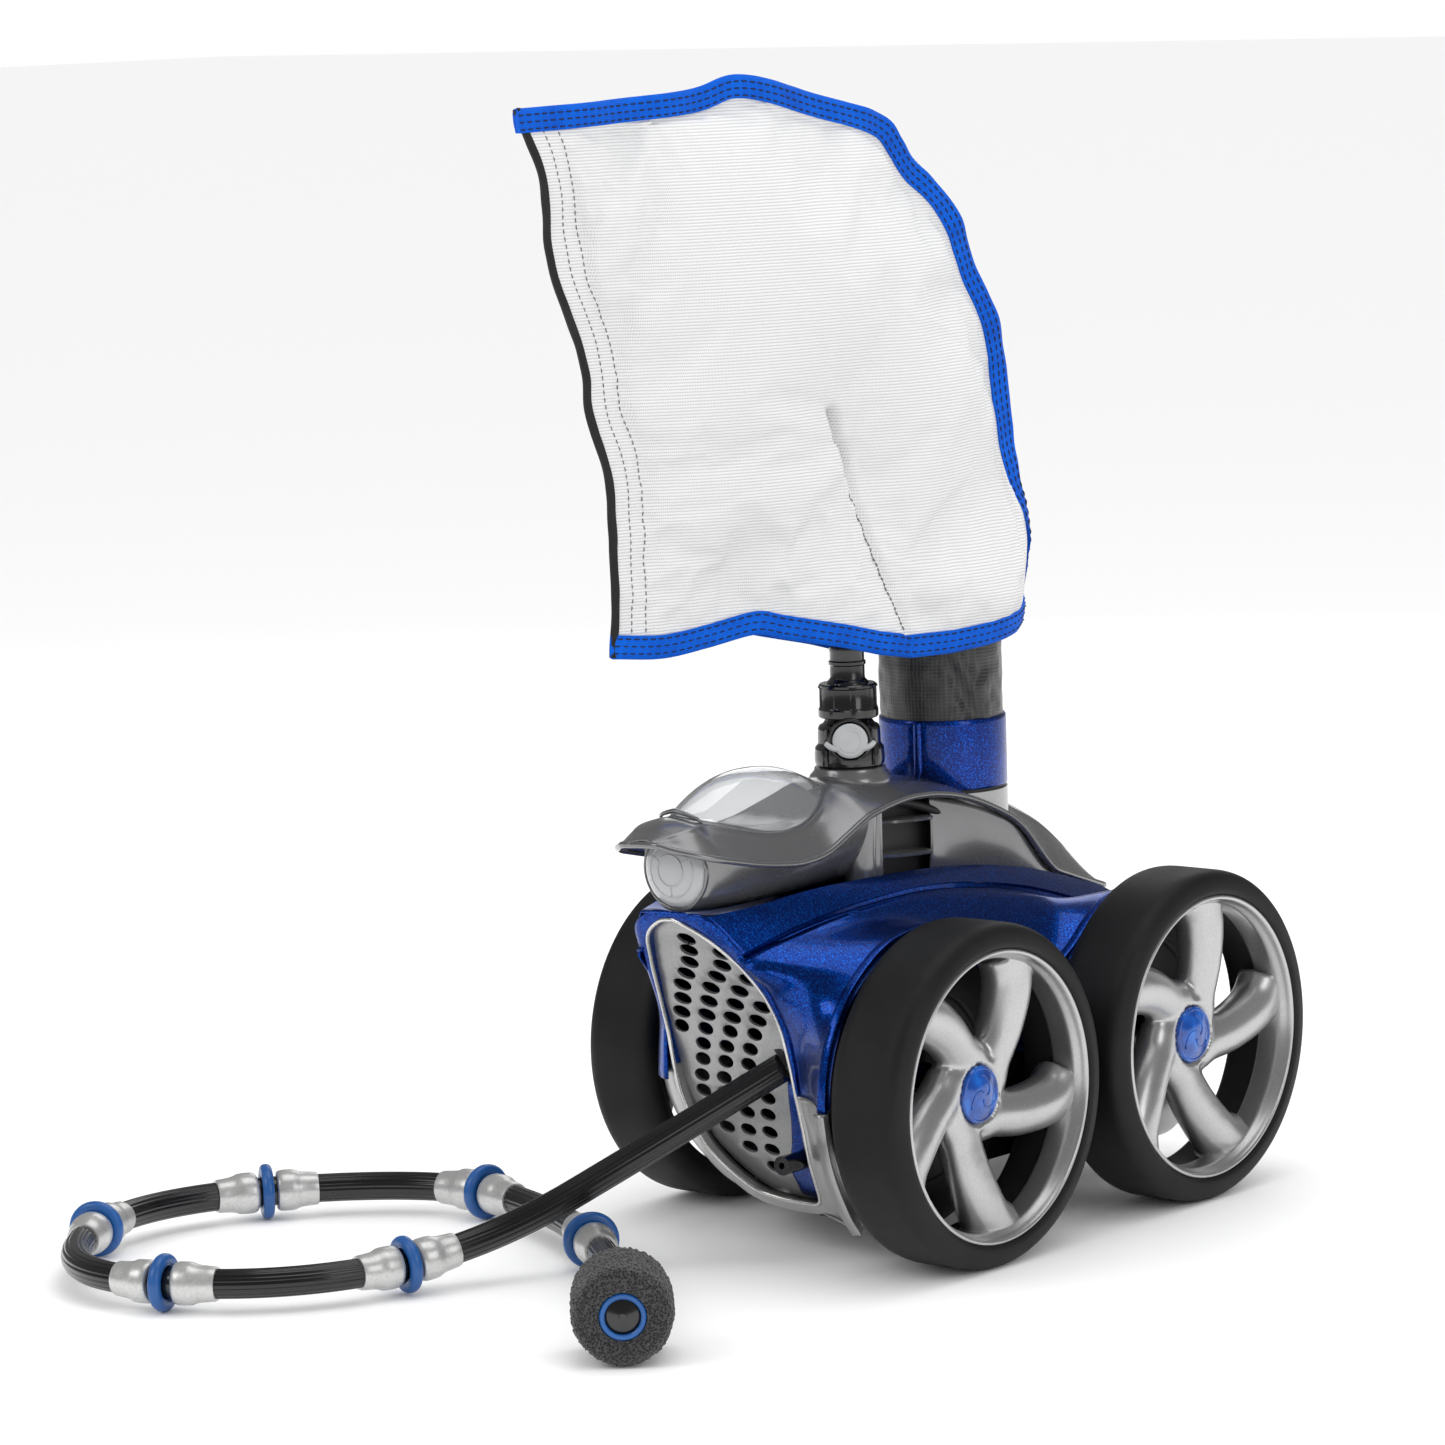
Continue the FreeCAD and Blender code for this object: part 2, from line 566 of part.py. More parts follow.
def make_button():
    """A round push button with two ears, and the pocket that it slides in."""
    def across(x0, x1, radius):
        return rod((x0, 0, 0), (x1, 0, 0), radius)
    stem = across(9.0, 18.0, 5.0)
    button = fused([stem, across(18.0 + BUTTON_TRAVEL, 22.5, 10.0), across(17.0, 21.0, 5.0)])
    ear = box((18.0 + BUTTON_TRAVEL, 21.5), (-14, 14), (-3.5, 1.0))
    button = fused([button, ear])
    pocket = fused([across(6.9, 30.0, 5.0 + BODY_GAP), across(17.6, 30.0, 10.5),
                    box((17.6, 30), (-14.5, 14.5), (-4.0, 1.5))])
    for shape in (button, pocket):
        shape.rotate(V(0, 0, 0), V(0, 0, 1), BUTTON_HEADING)
        shape.translate(V(0, CONNECTOR_Y, BUTTON_Z))
    return button, pocket


# Bag outline in its own plane: distance forward of the tube, height. Counter-clockwise as
# seen from the right with the front to the left, starting at the lower front corner.
BAG_FRONT = 302.8
BAG_OUTLINE = [
    (248, 350), (246, 406), (247, 451), (262, 505), (280, 561), (292, 622), (BAG_FRONT, 662),
    (244, 664), (178, 668), (141, 675), (82, 661), (36, 648), (19, 633),
    (-5, 608), (-39, 547), (-61, 474), (-68, 395), (-53, 350), (-46, 336), (50, 336), (78, 350), (154, 355),
]
BINDING_WIDTH = 13.0
FRONT_CORNERS = 6                  # the first edges of the outline are the hemmed front edge


def bag_point(distance, height, offset=0.0):
    c, s = math.cos(math.radians(BAG_TURN)), math.sin(math.radians(BAG_TURN))
    return V(-s * distance + c * offset, TUBE_Y - c * distance - s * offset, height)


def make_bag():
    """Collar, neck sleeve, pillow, bound edges and the hemmed front edge."""
    at = (0, TUBE_Y, 0)
    inner_r = TUBE_R + 0.3
    collar = turned([(inner_r, COLLAR_Z[0]), (SOCKET_R, COLLAR_Z[0]), (SOCKET_R, COLLAR_Z[1]),
                     (inner_r, COLLAR_Z[1])], at, (0, 0, 1))
    rib = box((-2.5, 2.5), (TUBE_Y - SOCKET_R - 1.5, TUBE_Y - SOCKET_R + 2), (264, COLLAR_Z[1]))
    neck_profile = [(TUBE_R, COLLAR_Z[1]), (37.0, COLLAR_Z[1]), (35.5, NECK_TOP), (33.5, NECK_TOP)]
    neck = turned(neck_profile, at, (0, 0, 1))
    middle = inset(BAG_OUTLINE, BINDING_WIDTH)
    centre = (sum(p[0] for p in middle) / len(middle), sum(p[1] for p in middle) / len(middle))

    def ring(share, offset):
        return [bag_point(centre[0] + share * (s - centre[0]), centre[1] + share * (z - centre[1]), offset)
                for s, z in middle]
    full = BAG_HALF_THICKNESS
    pillow = skin_solid([ring(0.55, -full), ring(0.8, -0.7 * full), ring(1, -1.5), ring(1, 1.5),
                         ring(0.8, 0.7 * full), ring(0.55, full)])

    def slab(outline):
        corners = [bag_point(s, z, -BINDING_THICKNESS / 2) for s, z in outline]
        across = bag_point(0, 0, BINDING_THICKNESS) - bag_point(0, 0)
        return Part.Face(Part.makePolygon(corners + corners[:1])).extrude(across)
    edge = slab(BAG_OUTLINE).cut(slab(middle))
    front = BAG_OUTLINE[:FRONT_CORNERS + 1]
    back = middle[:FRONT_CORNERS + 1]
    hem_zone = slab(front + list(reversed(back)))
    return {"bag_collar": fused([collar, rib.cut(rod((0, TUBE_Y, 0), (0, TUBE_Y, 300), SOCKET_R - 1))]),
            "bag_neck": neck, "bag_body": pillow,
            "bag_binding": largest(edge.cut(hem_zone)), "bag_front_hem": largest(edge.common(hem_zone))}


SEAL_R, SEAL_HEIGHT = 36.6, 1.6


def make_seal():
    """The flat ring between the tube's socket and the bag collar."""
    low, high = SOCKET_Z[1], SOCKET_Z[1] + SEAL_HEIGHT
    return turned([(TUBE_R, low), (SEAL_R, low), (SEAL_R, high), (TUBE_R, high)], (0, TUBE_Y, 0), (0, 0, 1))


# ---------------------------------------------------------------- sweep hose and thrust jet
NUT_LENGTH, NUT_R = 14.0, 11.5
CLIP_SPAN, CLIP_WALL, SUPPLY_R = (4.0, 9.0), 2.0, 4.5
SUPPLY_LINE = [(46, -116, 124), (40, -70, 92), (29, 18, MANIFOLD_Z)]
THRUST_AT = V(37.0, -106.0, 59.0)
THRUST_R, THRUST_LENGTH, BALL_R = 5.6, 36.0, 7.2


def make_hose_fittings(route):
    """The nut and clip where the hose leaves the grille, and the supply line behind it."""
    start, direction = route.at(0)
    back = start - direction * NUT_LENGTH
    nut = rod(back, start, NUT_R)
    clip = rod(start - direction * CLIP_SPAN[1], start - direction * CLIP_SPAN[0], NUT_R + CLIP_WALL, NUT_R)
    line = pipe([tuple(back)] + SUPPLY_LINE + [(24, 32, MANIFOLD_Z)], SUPPLY_R)
    line = largest(line.cut(nut).cut(make_manifold()))
    clearance = rod(start - direction * 30, start + direction * 20, NUT_R + 2.6)
    return {"hose_nut": nut, "hose_clip": clip, "supply_line": line}, clearance


def jet_clearance():
    """The notch beside the grille that leaves the thrust jet room to tilt."""
    return rod(THRUST_AT - V(0, 60, 0), THRUST_AT + V(0, 20, 0), THRUST_R + 4.0)


def make_thrust_jet():
    """A ball nozzle that tilts in a socket beside the grille."""
    tip = THRUST_AT - V(0, THRUST_LENGTH, 0)
    nozzle = fused([rod(THRUST_AT, tip, THRUST_R), Part.makeSphere(BALL_R, THRUST_AT)])
    nozzle = nozzle.cut(rod(THRUST_AT, tip, 2.0))
    outer = rod(THRUST_AT - V(0, 4, 0), THRUST_AT + V(0, 9, 0), BALL_R + 3)
    socket = outer.cut(Part.makeSphere(BALL_R + BODY_GAP, THRUST_AT))
    cone = Part.makeCone(THRUST_R + 1, THRUST_R + 6, 16, THRUST_AT - V(0, 2, 0), V(0, -1, 0))
    leg = box((THRUST_AT.x - 4, THRUST_AT.x + 4), (THRUST_AT.y + 2, THRUST_AT.y + 9),
              (FLOOR_Z + SKIN, THRUST_AT.z - BALL_R - 1))
    return {"thrust_jet_nozzle": nozzle, "thrust_jet_socket": largest(fused([socket, leg]).cut(cone))}


def make_tail(route):
    """The sweep hose, the cups, the wear rings and the foam scrubber."""
    parts = {"sweep_hose": route.tube(HOSE_R)}
    cups = []
    for number, distance in enumerate(RING_DISTANCES, 1):
        centre, axis = route.at(distance)
        ring = Part.makeTorus(RING_R, RING_SECTION_R, centre, axis)
        bore = Part.makeCylinder(HOSE_R + BODY_GAP, 20, centre - axis * 10, axis)
        parts["wear_ring_%d" % number] = ring.cut(bore)
        for way in (-1, 1):
            cups.append(make_cup(route, distance, way))
    parts["hose_cups"] = Part.makeCompound(cups)
    end, axis = route.at(route.length)
    flat = V(axis.x, axis.y, 0).normalize()
    hub_end = end + flat * (FOAM_LENGTH + 6)
    hub = fused([rod(end, hub_end, 9.0), rod(hub_end - flat * 4, hub_end, 12.0)])
    parts["scrubber_hub"] = largest(hub.cut(parts["sweep_hose"]))
    foam = rod(end + flat * 2, end + flat * (FOAM_LENGTH + 2), FOAM_R)
    parts["scrubber_foam"] = largest(foam.cut(hub).cut(parts["sweep_hose"]))
    return parts


def make_cup(route, distance, way):
    """A tapered cup beside a wear ring, wide end towards the ring, pressed onto the hose."""
    near = route.at(distance + way * RING_HALF_GAP)[0]
    far = route.at(distance + way * (RING_HALF_GAP + CUP_LENGTH))[0]
    outward = (far - near).normalize()
    profile = [(HOSE_R, 0), (CUP_R - 2, 0), (CUP_R, 3), (CUP_R, 11), (HOSE_R + 1.4, CUP_LENGTH),
               (HOSE_R, CUP_LENGTH)]
    return turned(profile, tuple(near), tuple(outward))


# ---------------------------------------------------------------- small parts
def make_screws():
    """Six screws up through the rim of the lower shell."""
    screws = []
    for x in (-50, 50):
        for y in (-60, 40, 170):
            screws.append(fused([rod((x, y, FLOOR_Z - 2), (x, y, FLOOR_Z), 4.0),
                                 rod((x, y, FLOOR_Z), (x, y, FLOOR_Z + 14), 2.0)]))
    return screws


def make_side_guard():
    """The flat black guard on the right flank, between the two right wheels."""
    return box((94.0, 96.5), (-30, 90), (48, 106))


# ---------------------------------------------------------------- assembly
def build():
    route = Route(HOSE_ROUTE)
    parts = {}
    body = body_block(0)
    fittings, nut_clearance = make_hose_fittings(route)
    parts.update(fittings)
    parts["lower_shell"], parts["upper_shell"] = make_shells(nut_clearance)
    parts["front_grille"] = make_grille([nut_clearance, jet_clearance()])
    parts["head_cover"], parts["head_dome"], parts["head_base"] = make_head(body)
    parts["nose_lens"] = lens_disc()
    parts["float_block"] = make_float()
    parts["suction_tube"] = make_tube()
    parts["jet_manifold"] = make_manifold()
    parts["feed_pipe"] = make_feed_pipe()
    parts["turbine_housing"] = make_turbine_housing()
    parts["turbine_bushes"] = make_turbine_bushes()
    parts["turbine_wheel"] = make_turbine_wheel()
    parts["turbine_shaft"] = make_turbine_shaft()
    parts["drive_chain_right"] = make_chain(1, [-78.0, 132.0])
    parts["drive_chain_left"] = make_chain(-1, [0.0])
    parts["axle_bearings"] = make_bearings()
    for name, (side, y) in WHEELS.items():
        for piece, shape in make_wheel(side, y).items():
            parts["%s_%s" % (piece, name)] = shape
    parts.update(make_connector())
    parts.update(make_bag())
    parts["tube_seal"] = make_seal()
    parts.update(make_thrust_jet())
    parts.update(make_tail(route))
    screws = make_screws()
    for screw in screws:
        parts["lower_shell"] = parts["lower_shell"].cut(screw)
    parts["shell_screws"] = Part.makeCompound(screws)
    parts["side_guard"] = make_side_guard().cut(body)
    return parts


for node, shape in build().items():
    bounds = shape.BoundBox
    print("%-22s solids %2d valid %s volume %9.0f  X %7.1f %7.1f  Y %7.1f %7.1f  Z %6.1f %6.1f" % (
        node, len(shape.Solids), shape.isValid(), shape.Volume, bounds.XMin, bounds.XMax,
        bounds.YMin, bounds.YMax, bounds.ZMin, bounds.ZMax))
    shape.exportStep("parts/%s.step" % node)
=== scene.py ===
"""Looks of the pool cleaner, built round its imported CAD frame. Lengths are in millimetres until a mesh is made."""
import bpy
import bmesh
import json
import math
from mathutils import Matrix, Vector, noise


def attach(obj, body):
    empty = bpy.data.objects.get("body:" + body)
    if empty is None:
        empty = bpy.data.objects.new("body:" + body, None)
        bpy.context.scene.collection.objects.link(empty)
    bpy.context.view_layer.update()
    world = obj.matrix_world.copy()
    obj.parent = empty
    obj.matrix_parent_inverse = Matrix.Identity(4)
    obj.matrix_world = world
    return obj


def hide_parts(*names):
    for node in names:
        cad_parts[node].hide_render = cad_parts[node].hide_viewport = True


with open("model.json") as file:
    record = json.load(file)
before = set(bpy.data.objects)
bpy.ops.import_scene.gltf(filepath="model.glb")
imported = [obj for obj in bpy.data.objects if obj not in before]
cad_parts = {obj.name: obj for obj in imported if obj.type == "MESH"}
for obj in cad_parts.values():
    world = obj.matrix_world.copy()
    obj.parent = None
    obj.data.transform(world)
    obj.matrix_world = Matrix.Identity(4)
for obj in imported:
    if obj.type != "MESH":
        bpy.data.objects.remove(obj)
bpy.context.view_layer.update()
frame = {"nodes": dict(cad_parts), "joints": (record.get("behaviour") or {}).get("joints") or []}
MM = 0.001
TAU = 2 * math.pi


# ================================================================ mesh tools
def lerp(a, b, t):
    return a + (b - a) * t


def mix(p, q, t):
    return tuple(lerp(a, b, t) for a, b in zip(p, q))


def catmull(p0, p1, p2, p3, t):
    return 0.5 * ((2 * p1) + (p2 - p0) * t + (2 * p0 - 5 * p1 + 4 * p2 - p3) * t * t
                  + (3 * p1 - p0 - 3 * p2 + p3) * t ** 3)


def smooth_line(points, count, closed=False):
    """count + 1 points spread evenly along a Catmull-Rom curve through the given points."""
    pts = [Vector(p) for p in points]
    n = len(pts)
    dense = []
    spans = n if closed else n - 1
    for i in range(spans):
        if closed:
            p0, p1, p2, p3 = (pts[(i + k) % n] for k in (-1, 0, 1, 2))
        else:
            p1, p2 = pts[i], pts[i + 1]
            p0 = pts[i - 1] if i else p1 + (p1 - p2)
            p3 = pts[i + 2] if i + 2 < n else p2 + (p2 - p1)
        dense += [catmull(p0, p1, p2, p3, k / 12) for k in range(12)]
    dense.append(pts[0] if closed else pts[-1])
    lengths = [0.0]
    for a, b in zip(dense, dense[1:]):
        lengths.append(lengths[-1] + (b - a).length)
    result, j = [], 0
    for k in range(count + 1):
        target = lengths[-1] * k / count
        while j < len(dense) - 2 and lengths[j + 1] < target:
            j += 1
        span = lengths[j + 1] - lengths[j]
        result.append(dense[j].lerp(dense[j + 1], (target - lengths[j]) / span if span else 0))
    return result


def bezier(a, b, c, count):
    a, b, c = Vector(a), Vector(b), Vector(c)
    return [(1 - t) ** 2 * a + 2 * t * (1 - t) * b + t * t * c for t in (k / count for k in range(count + 1))]


def table_value(rows, x):
    """Linear interpolation in rows of (x, value)."""
    rows = sorted(rows)
    if x <= rows[0][0]:
        return rows[0][1]
    for (x1, v1), (x2, v2) in zip(rows, rows[1:]):
        if x <= x2:
            return lerp(v1, v2, (x - x1) / (x2 - x1))
    return rows[-1][1]


def frame_of(axis):
    """Two unit vectors across an axis."""
    axis = Vector(axis).normalized()
    side = axis.cross(Vector((0, 0, 1)) if abs(axis.z) < 0.9 else Vector((1, 0, 0))).normalized()
    return side, axis.cross(side).normalized()


def circle(centre, a, b, radius, count, start=0.0, arc=TAU):
    """Points round a centre in the plane of a and b."""
    return [centre + (a * math.cos(t) + b * math.sin(t)) * radius
            for t in (start + arc * k / count for k in range(count))]


def outline_of(profile, count):
    """A closed profile of (radius, height) points, rounded and spread evenly."""
    return [(p.x, p.y) for p in smooth_line([(r, h, 0) for r, h in profile], count, closed=True)][:-1]


def sided(points, side):
    """Points kept on the right for side 1, or mirrored to the left for side -1."""
    return [Vector((side * p[0], p[1], p[2])) for p in points]


class Shape:
    """Collects vertices and faces in millimetres, then makes one object of them."""

    def __init__(self):
        self.verts, self.faces = [], []

    def add(self, verts, faces):
        base = len(self.verts)
        self.verts += [tuple(v) for v in verts]
        self.faces += [tuple(base + i for i in f) for f in faces]
        return self

    def net(self, rows, wrap=False, join=False, caps=False):
        """Quads between rows of points. wrap closes each row, join closes the rows round."""
        n = len(rows[0])
        faces = []
        for r in range(len(rows) if join else len(rows) - 1):
            s = (r + 1) % len(rows)
            for i in range(n if wrap else n - 1):
                j = (i + 1) % n
                faces.append((r * n + i, r * n + j, s * n + j, s * n + i))
        if caps:
            faces.append(tuple(reversed(range(n))))
            faces.append(tuple(range((len(rows) - 1) * n, len(rows) * n)))
        return self.add([p for row in rows for p in row], faces)

    def lathe(self, profile, origin, axis, count=64, closed=False, arc=TAU, start=0.0):
        """Turns (radius, height) points about an axis. A closed profile makes a ring."""
        origin, axis = Vector(origin), Vector(axis).normalized()
        a, b = frame_of(axis)
        full = abs(arc - TAU) < 1e-6
        steps = count if full else count + 1
        rows = [circle(origin + axis * h, a, b, r, steps, start, arc * steps / count) for r, h in profile]
        return self.net(rows, wrap=full, join=closed)

    def sweep(self, points, radius, count=12, closed=False, squash=None):
        """A tube along points. radius is a number or a function of (share, angle)."""
        points = [Vector(p) for p in points]
        n = len(points)
        side = None
        rows = []
        for i, p in enumerate(points):
            if closed:
                d = points[(i + 1) % n] - points[i - 1]
            else:
                d = points[min(i + 1, n - 1)] - points[max(i - 1, 0)]
            d.normalize()
            side = frame_of(d)[0] if side is None else (side - d * side.dot(d)).normalized()
            up = d.cross(side)
            row = []
            for k in range(count):
                t = TAU * k / count
                r = radius(i / (n - 1), t) if callable(radius) else radius
                offset = (side * math.cos(t) + up * math.sin(t)) * r
                if squash:
                    offset -= Vector(squash[0]) * offset.dot(Vector(squash[0])) * (1 - squash[1])
                row.append(p + offset)
            rows.append(row)
        return self.net(rows, wrap=True, join=closed, caps=not closed)

    def build(self, name, material, body, replaces=(), finish=None, weld=0.02, sharp=40):
        mesh = bpy.data.meshes.new(name)
        mesh.from_pydata([Vector(v) * MM for v in self.verts], [], self.faces)
        mesh.materials.append(M[material])
        bm = bmesh.new()
        bm.from_mesh(mesh)
        bmesh.ops.remove_doubles(bm, verts=bm.verts, dist=weld * MM)
        bmesh.ops.dissolve_degenerate(bm, dist=0.001 * MM, edges=bm.edges)
        bmesh.ops.recalc_face_normals(bm, faces=bm.faces)
        bm.to_mesh(mesh)
        bm.free()
        return dress(placed(name, mesh), body, replaces, sharp)


def placed(name, data):
    """A new object in the scene."""
    obj = bpy.data.objects.new(name, data)
    bpy.context.scene.collection.objects.link(obj)
    return obj


def dress(obj, body, replaces=(), sharp=40):
    """Smooth shading with sharp edges kept, then the body and the CAD nodes it stands for."""
    for polygon in obj.data.polygons:
        polygon.use_smooth = True
    if sharp:
        obj.data.set_sharp_from_angle(angle=math.radians(sharp))
    if body:
        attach(obj, body)
    if replaces:
        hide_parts(*replaces)
    return obj


def modifier(obj, kind, **settings):
    m = obj.modifiers.new(kind.title(), kind)
    for key, value in settings.items():
        setattr(m, key, value)
    return m


def thicken(obj, thickness, offset=-1):
    modifier(obj, "SOLIDIFY", thickness=thickness * MM, offset=offset)


def applied(obj):
    """Makes the modifiers' result the object's own mesh."""
    graph = bpy.context.evaluated_depsgraph_get()
    mesh = bpy.data.meshes.new_from_object(obj.evaluated_get(graph), preserve_all_data_layers=True, depsgraph=graph)
    obj.modifiers.clear()
    obj.data = mesh
    return obj


# ================================================================ materials
class Finish:
    """A Principled material with procedural colour, roughness and bump in object coordinates."""

    def __init__(self, name, colour, rough=0.4, metal=0.0, coat=0.0, coat_rough=0.05, sheen=0.0, specular=0.5):
        self.material = bpy.data.materials.new(name)
        self.material.use_nodes = True
        self.nodes = self.material.node_tree.nodes
        self.links = self.material.node_tree.links
        self.shader = self.nodes["Principled BSDF"]
        values = {"Base Color": (*colour, 1), "Roughness": rough, "Metallic": metal, "Coat Weight": coat,
                  "Coat Roughness": coat_rough, "Sheen Weight": sheen, "Specular IOR Level": specular}
        for key, value in values.items():
            self.shader.inputs[key].default_value = value
        self.where = self.nodes.new("ShaderNodeTexCoord").outputs["Object"]

    def add(self, kind, **values):
        node = self.nodes.new("ShaderNode" + kind)
        for key, value in values.items():
            node.inputs[key.replace("_", " ")].default_value = value
        return node

    def texture(self, kind, **values):
        node = self.add("Tex" + kind, **values)
        self.links.new(self.where, node.inputs["Vector"])
        return node

    def math(self, operation, a, b):
        node = self.add("Math")
        node.operation = operation
        for source, value in zip(node.inputs, (a, b)):
            if isinstance(value, (int, float)):
                source.default_value = value
            else:
                self.links.new(value, source)
        return node.outputs[0]

    def noise(self, scale, detail=3.0):
        return self.texture("Noise", Scale=scale, Detail=detail).outputs["Fac"]

    def cells(self, scale, output="Distance"):
        return self.texture("Voronoi", Scale=scale).outputs[output]

    def wave(self, scale, direction="Z", distortion=0.0):
        node = self.texture("Wave", Scale=scale, Distortion=distortion)
        node.bands_direction = direction
        return node.outputs["Fac"]

    def paint(self, value, stops):
        """Base colour from a value through colour stops."""
        node = self.add("ValToRGB")
        elements = node.color_ramp.elements
        while len(elements) < len(stops):
            elements.new(0.5)
        for element, (position, colour) in zip(elements, stops):
            element.position = position
            element.color = (*colour, 1)
        self.links.new(value, node.inputs["Fac"])
        self.links.new(node.outputs["Color"], self.shader.inputs["Base Color"])

    def roughness(self, value, low, high):
        node = self.add("MapRange", To_Min=low, To_Max=high)
        self.links.new(value, node.inputs["Value"])
        self.links.new(node.outputs["Result"], self.shader.inputs["Roughness"])

    def bump(self, heights, strength, distance):
        """Adds up height sources and turns them into a bump on the shader."""
        height = heights[0]
        for other in heights[1:]:
            height = self.math("ADD", height, other)
        node = self.add("Bump", Strength=strength, Distance=distance * MM)
        self.links.new(height, node.inputs["Height"])
        self.links.new(node.outputs["Normal"], self.shader.inputs["Normal"])


def shade(colour, factor):
    return tuple(min(1.0, c * factor) for c in colour)


def flake_paint(name, dark, bright, rough, coat):
    """Metallic paint: each flake has its own brightness and tilt, under a clear coat."""
    f = Finish(name, dark, rough=rough, metal=0.97, coat=coat, coat_rough=0.04)
    split = f.add("SeparateColor")
    f.links.new(f.cells(2000, "Color"), split.inputs[0])
    f.paint(split.outputs[0], [(0.0, shade(dark, 0.7)), (0.5, dark), (0.85, mix(dark, bright, 0.25)),
                               (1.0, mix(dark, bright, 0.8))])
    f.roughness(f.noise(12, 4), rough - 0.03, rough + 0.05)
    f.bump([split.outputs[1]], 0.10, 0.10)
    return f.material


def satin_metal(name, colour, rough, metal=0.85, coat=0.0, grain=700):
    f = Finish(name, colour, rough=rough, metal=metal, coat=coat, coat_rough=0.12)
    f.paint(f.noise(grain, 2), [(0.3, shade(colour, 0.9)), (0.7, shade(colour, 1.08))])
    f.roughness(f.noise(18, 5), rough - 0.05, rough + 0.08)
    f.bump([f.noise(grain, 2)], 0.05, 0.04)
    return f.material


def moulded(name, colour, rough, coat=0.0, texture=900, depth=0.06, strength=0.2):
    """Moulded plastic or rubber with a fine skin texture and slightly uneven gloss."""
    f = Finish(name, colour, rough=rough, coat=coat, coat_rough=0.08)
    f.paint(f.noise(35, 5), [(0.3, shade(colour, 0.86)), (0.7, shade(colour, 1.15))])
    f.roughness(f.noise(60, 6), rough - 0.06, rough + 0.08)
    f.bump([f.noise(texture, 3)], strength, depth)
    return f.material


M = {                                                 # the materials, by the short names used below
    "shell_blue": flake_paint("shell_blue_flake", (0.0, 0.024, 0.22), (0.0, 0.19, 0.95), 0.30, coat=0.25),
    "collar_blue": flake_paint("collar_blue_flake", (0.0, 0.014, 0.17), (0.0, 0.17, 1.0), 0.36, coat=0.45),
    "head_silver": satin_metal("head_silver_paint", (0.20, 0.20, 0.205), 0.25, metal=0.7, coat=0.8, grain=1500),
    "shell_silver": satin_metal("shell_silver_paint", (0.40, 0.40, 0.40), 0.30, metal=0.75, coat=0.5, grain=1500),
    "grille": satin_metal("grille_satin", (0.40, 0.40, 0.40), 0.38, metal=0.75, coat=0.2),
    "bezel": satin_metal("bezel_bright", (0.75, 0.74, 0.72), 0.25, metal=0.9),
    "rim": satin_metal("rim_satin_silver", (0.52, 0.52, 0.52), 0.3, metal=0.88, coat=0.25, grain=1200),
    "steel": satin_metal("steel", (0.62, 0.62, 0.60), 0.22, metal=1.0),
    "black": moulded("plastic_gloss_black", (0.003, 0.003, 0.0035), 0.2, coat=0.6, depth=0.03),
    "dull_black": moulded("plastic_dull_black", (0.008, 0.008, 0.009), 0.5, depth=0.05),
    "inner": moulded("inner_plastic", (0.03, 0.03, 0.032), 0.55),
    "seal": moulded("seal_rubber", (0.006, 0.006, 0.006), 0.45),
    "release": moulded("release_grey", (0.40, 0.41, 0.42), 0.32, coat=0.3, depth=0.03),
    "ring": moulded("wear_ring_blue", (0.008, 0.085, 0.30), 0.33, coat=0.15, texture=500, depth=0.08),
    "cup": satin_metal("cup_silver", (0.62, 0.62, 0.61), 0.34, metal=0.7, coat=0.3),
    "brass": satin_metal("jet_metal", (0.05, 0.05, 0.05), 0.3, metal=0.6),
}


def tyre_rubber():
    f = Finish("tyre_rubber", (0.006, 0.006, 0.006), rough=0.5, specular=0.3)
    f.paint(f.noise(22, 6), [(0.3, (0.004, 0.004, 0.004)), (0.75, (0.009, 0.009, 0.009))])
    f.roughness(f.noise(40, 6), 0.48, 0.66)
    f.bump([f.noise(450, 4), f.noise(60, 2)], 0.28, 0.12)
    return f.material


def clear_plastic(name, colour, rough, transmission):
    f = Finish(name, colour, rough=rough, coat=1.0, coat_rough=0.02)
    f.shader.inputs["Transmission Weight"].default_value = transmission
    f.shader.inputs["IOR"].default_value = 1.45
    f.roughness(f.noise(9, 3), rough, rough + 0.04)
    return f.material


def hose_rubber():
    f = Finish("hose_rubber", (0.003, 0.003, 0.003), rough=0.2, coat=0.3, coat_rough=0.08)
    f.roughness(f.noise(30, 5), 0.18, 0.34)
    f.paint(f.noise(14, 5), [(0.3, (0.002, 0.002, 0.002)), (0.8, (0.005, 0.005, 0.0055))])
    f.bump([f.noise(140, 4)], 0.1, 0.15)
    return f.material


def foam_sponge():
    f = Finish("foam_charcoal", (0.02, 0.02, 0.021), rough=0.95, sheen=0.25, specular=0.2)
    pore_depth_and_shade = f.cells(800)
    grain = f.noise(900, 3)
    # Base colour nearly black in the pore hollows, a painted shade, mixed with random grain tone.
    f.paint(f.math("ADD", pore_depth_and_shade, f.math("MULTIPLY", grain, 0.35)),
            [(0.15, (0.0015, 0.0015, 0.0015)), (0.5, (0.012, 0.012, 0.013)), (0.9, (0.06, 0.06, 0.063))])
    f.bump([pore_depth_and_shade, grain], 0.9, 1.1)
    return f.material


def cap_blue():
    f = Finish("cap_blue_translucent", (0.0, 0.05, 0.36), rough=0.16, coat=0.6, coat_rough=0.03)
    f.paint(f.noise(90, 4), [(0.3, (0.0, 0.025, 0.18)), (0.55, (0.0, 0.075, 0.40)), (0.8, (0.005, 0.19, 0.7))])
    f.bump([f.noise(60, 3)], 0.15, 0.5)
    return f.material


M["tyre"], M["hose"], M["foam"], M["cap"] = tyre_rubber(), hose_rubber(), foam_sponge(), cap_blue()
M["dome"] = clear_plastic("dome_clear", (0.96, 0.97, 0.98), 0.02, 0.9)
M["lens"] = clear_plastic("lens_clear", (0.66, 0.67, 0.68), 0.12, 0.45)


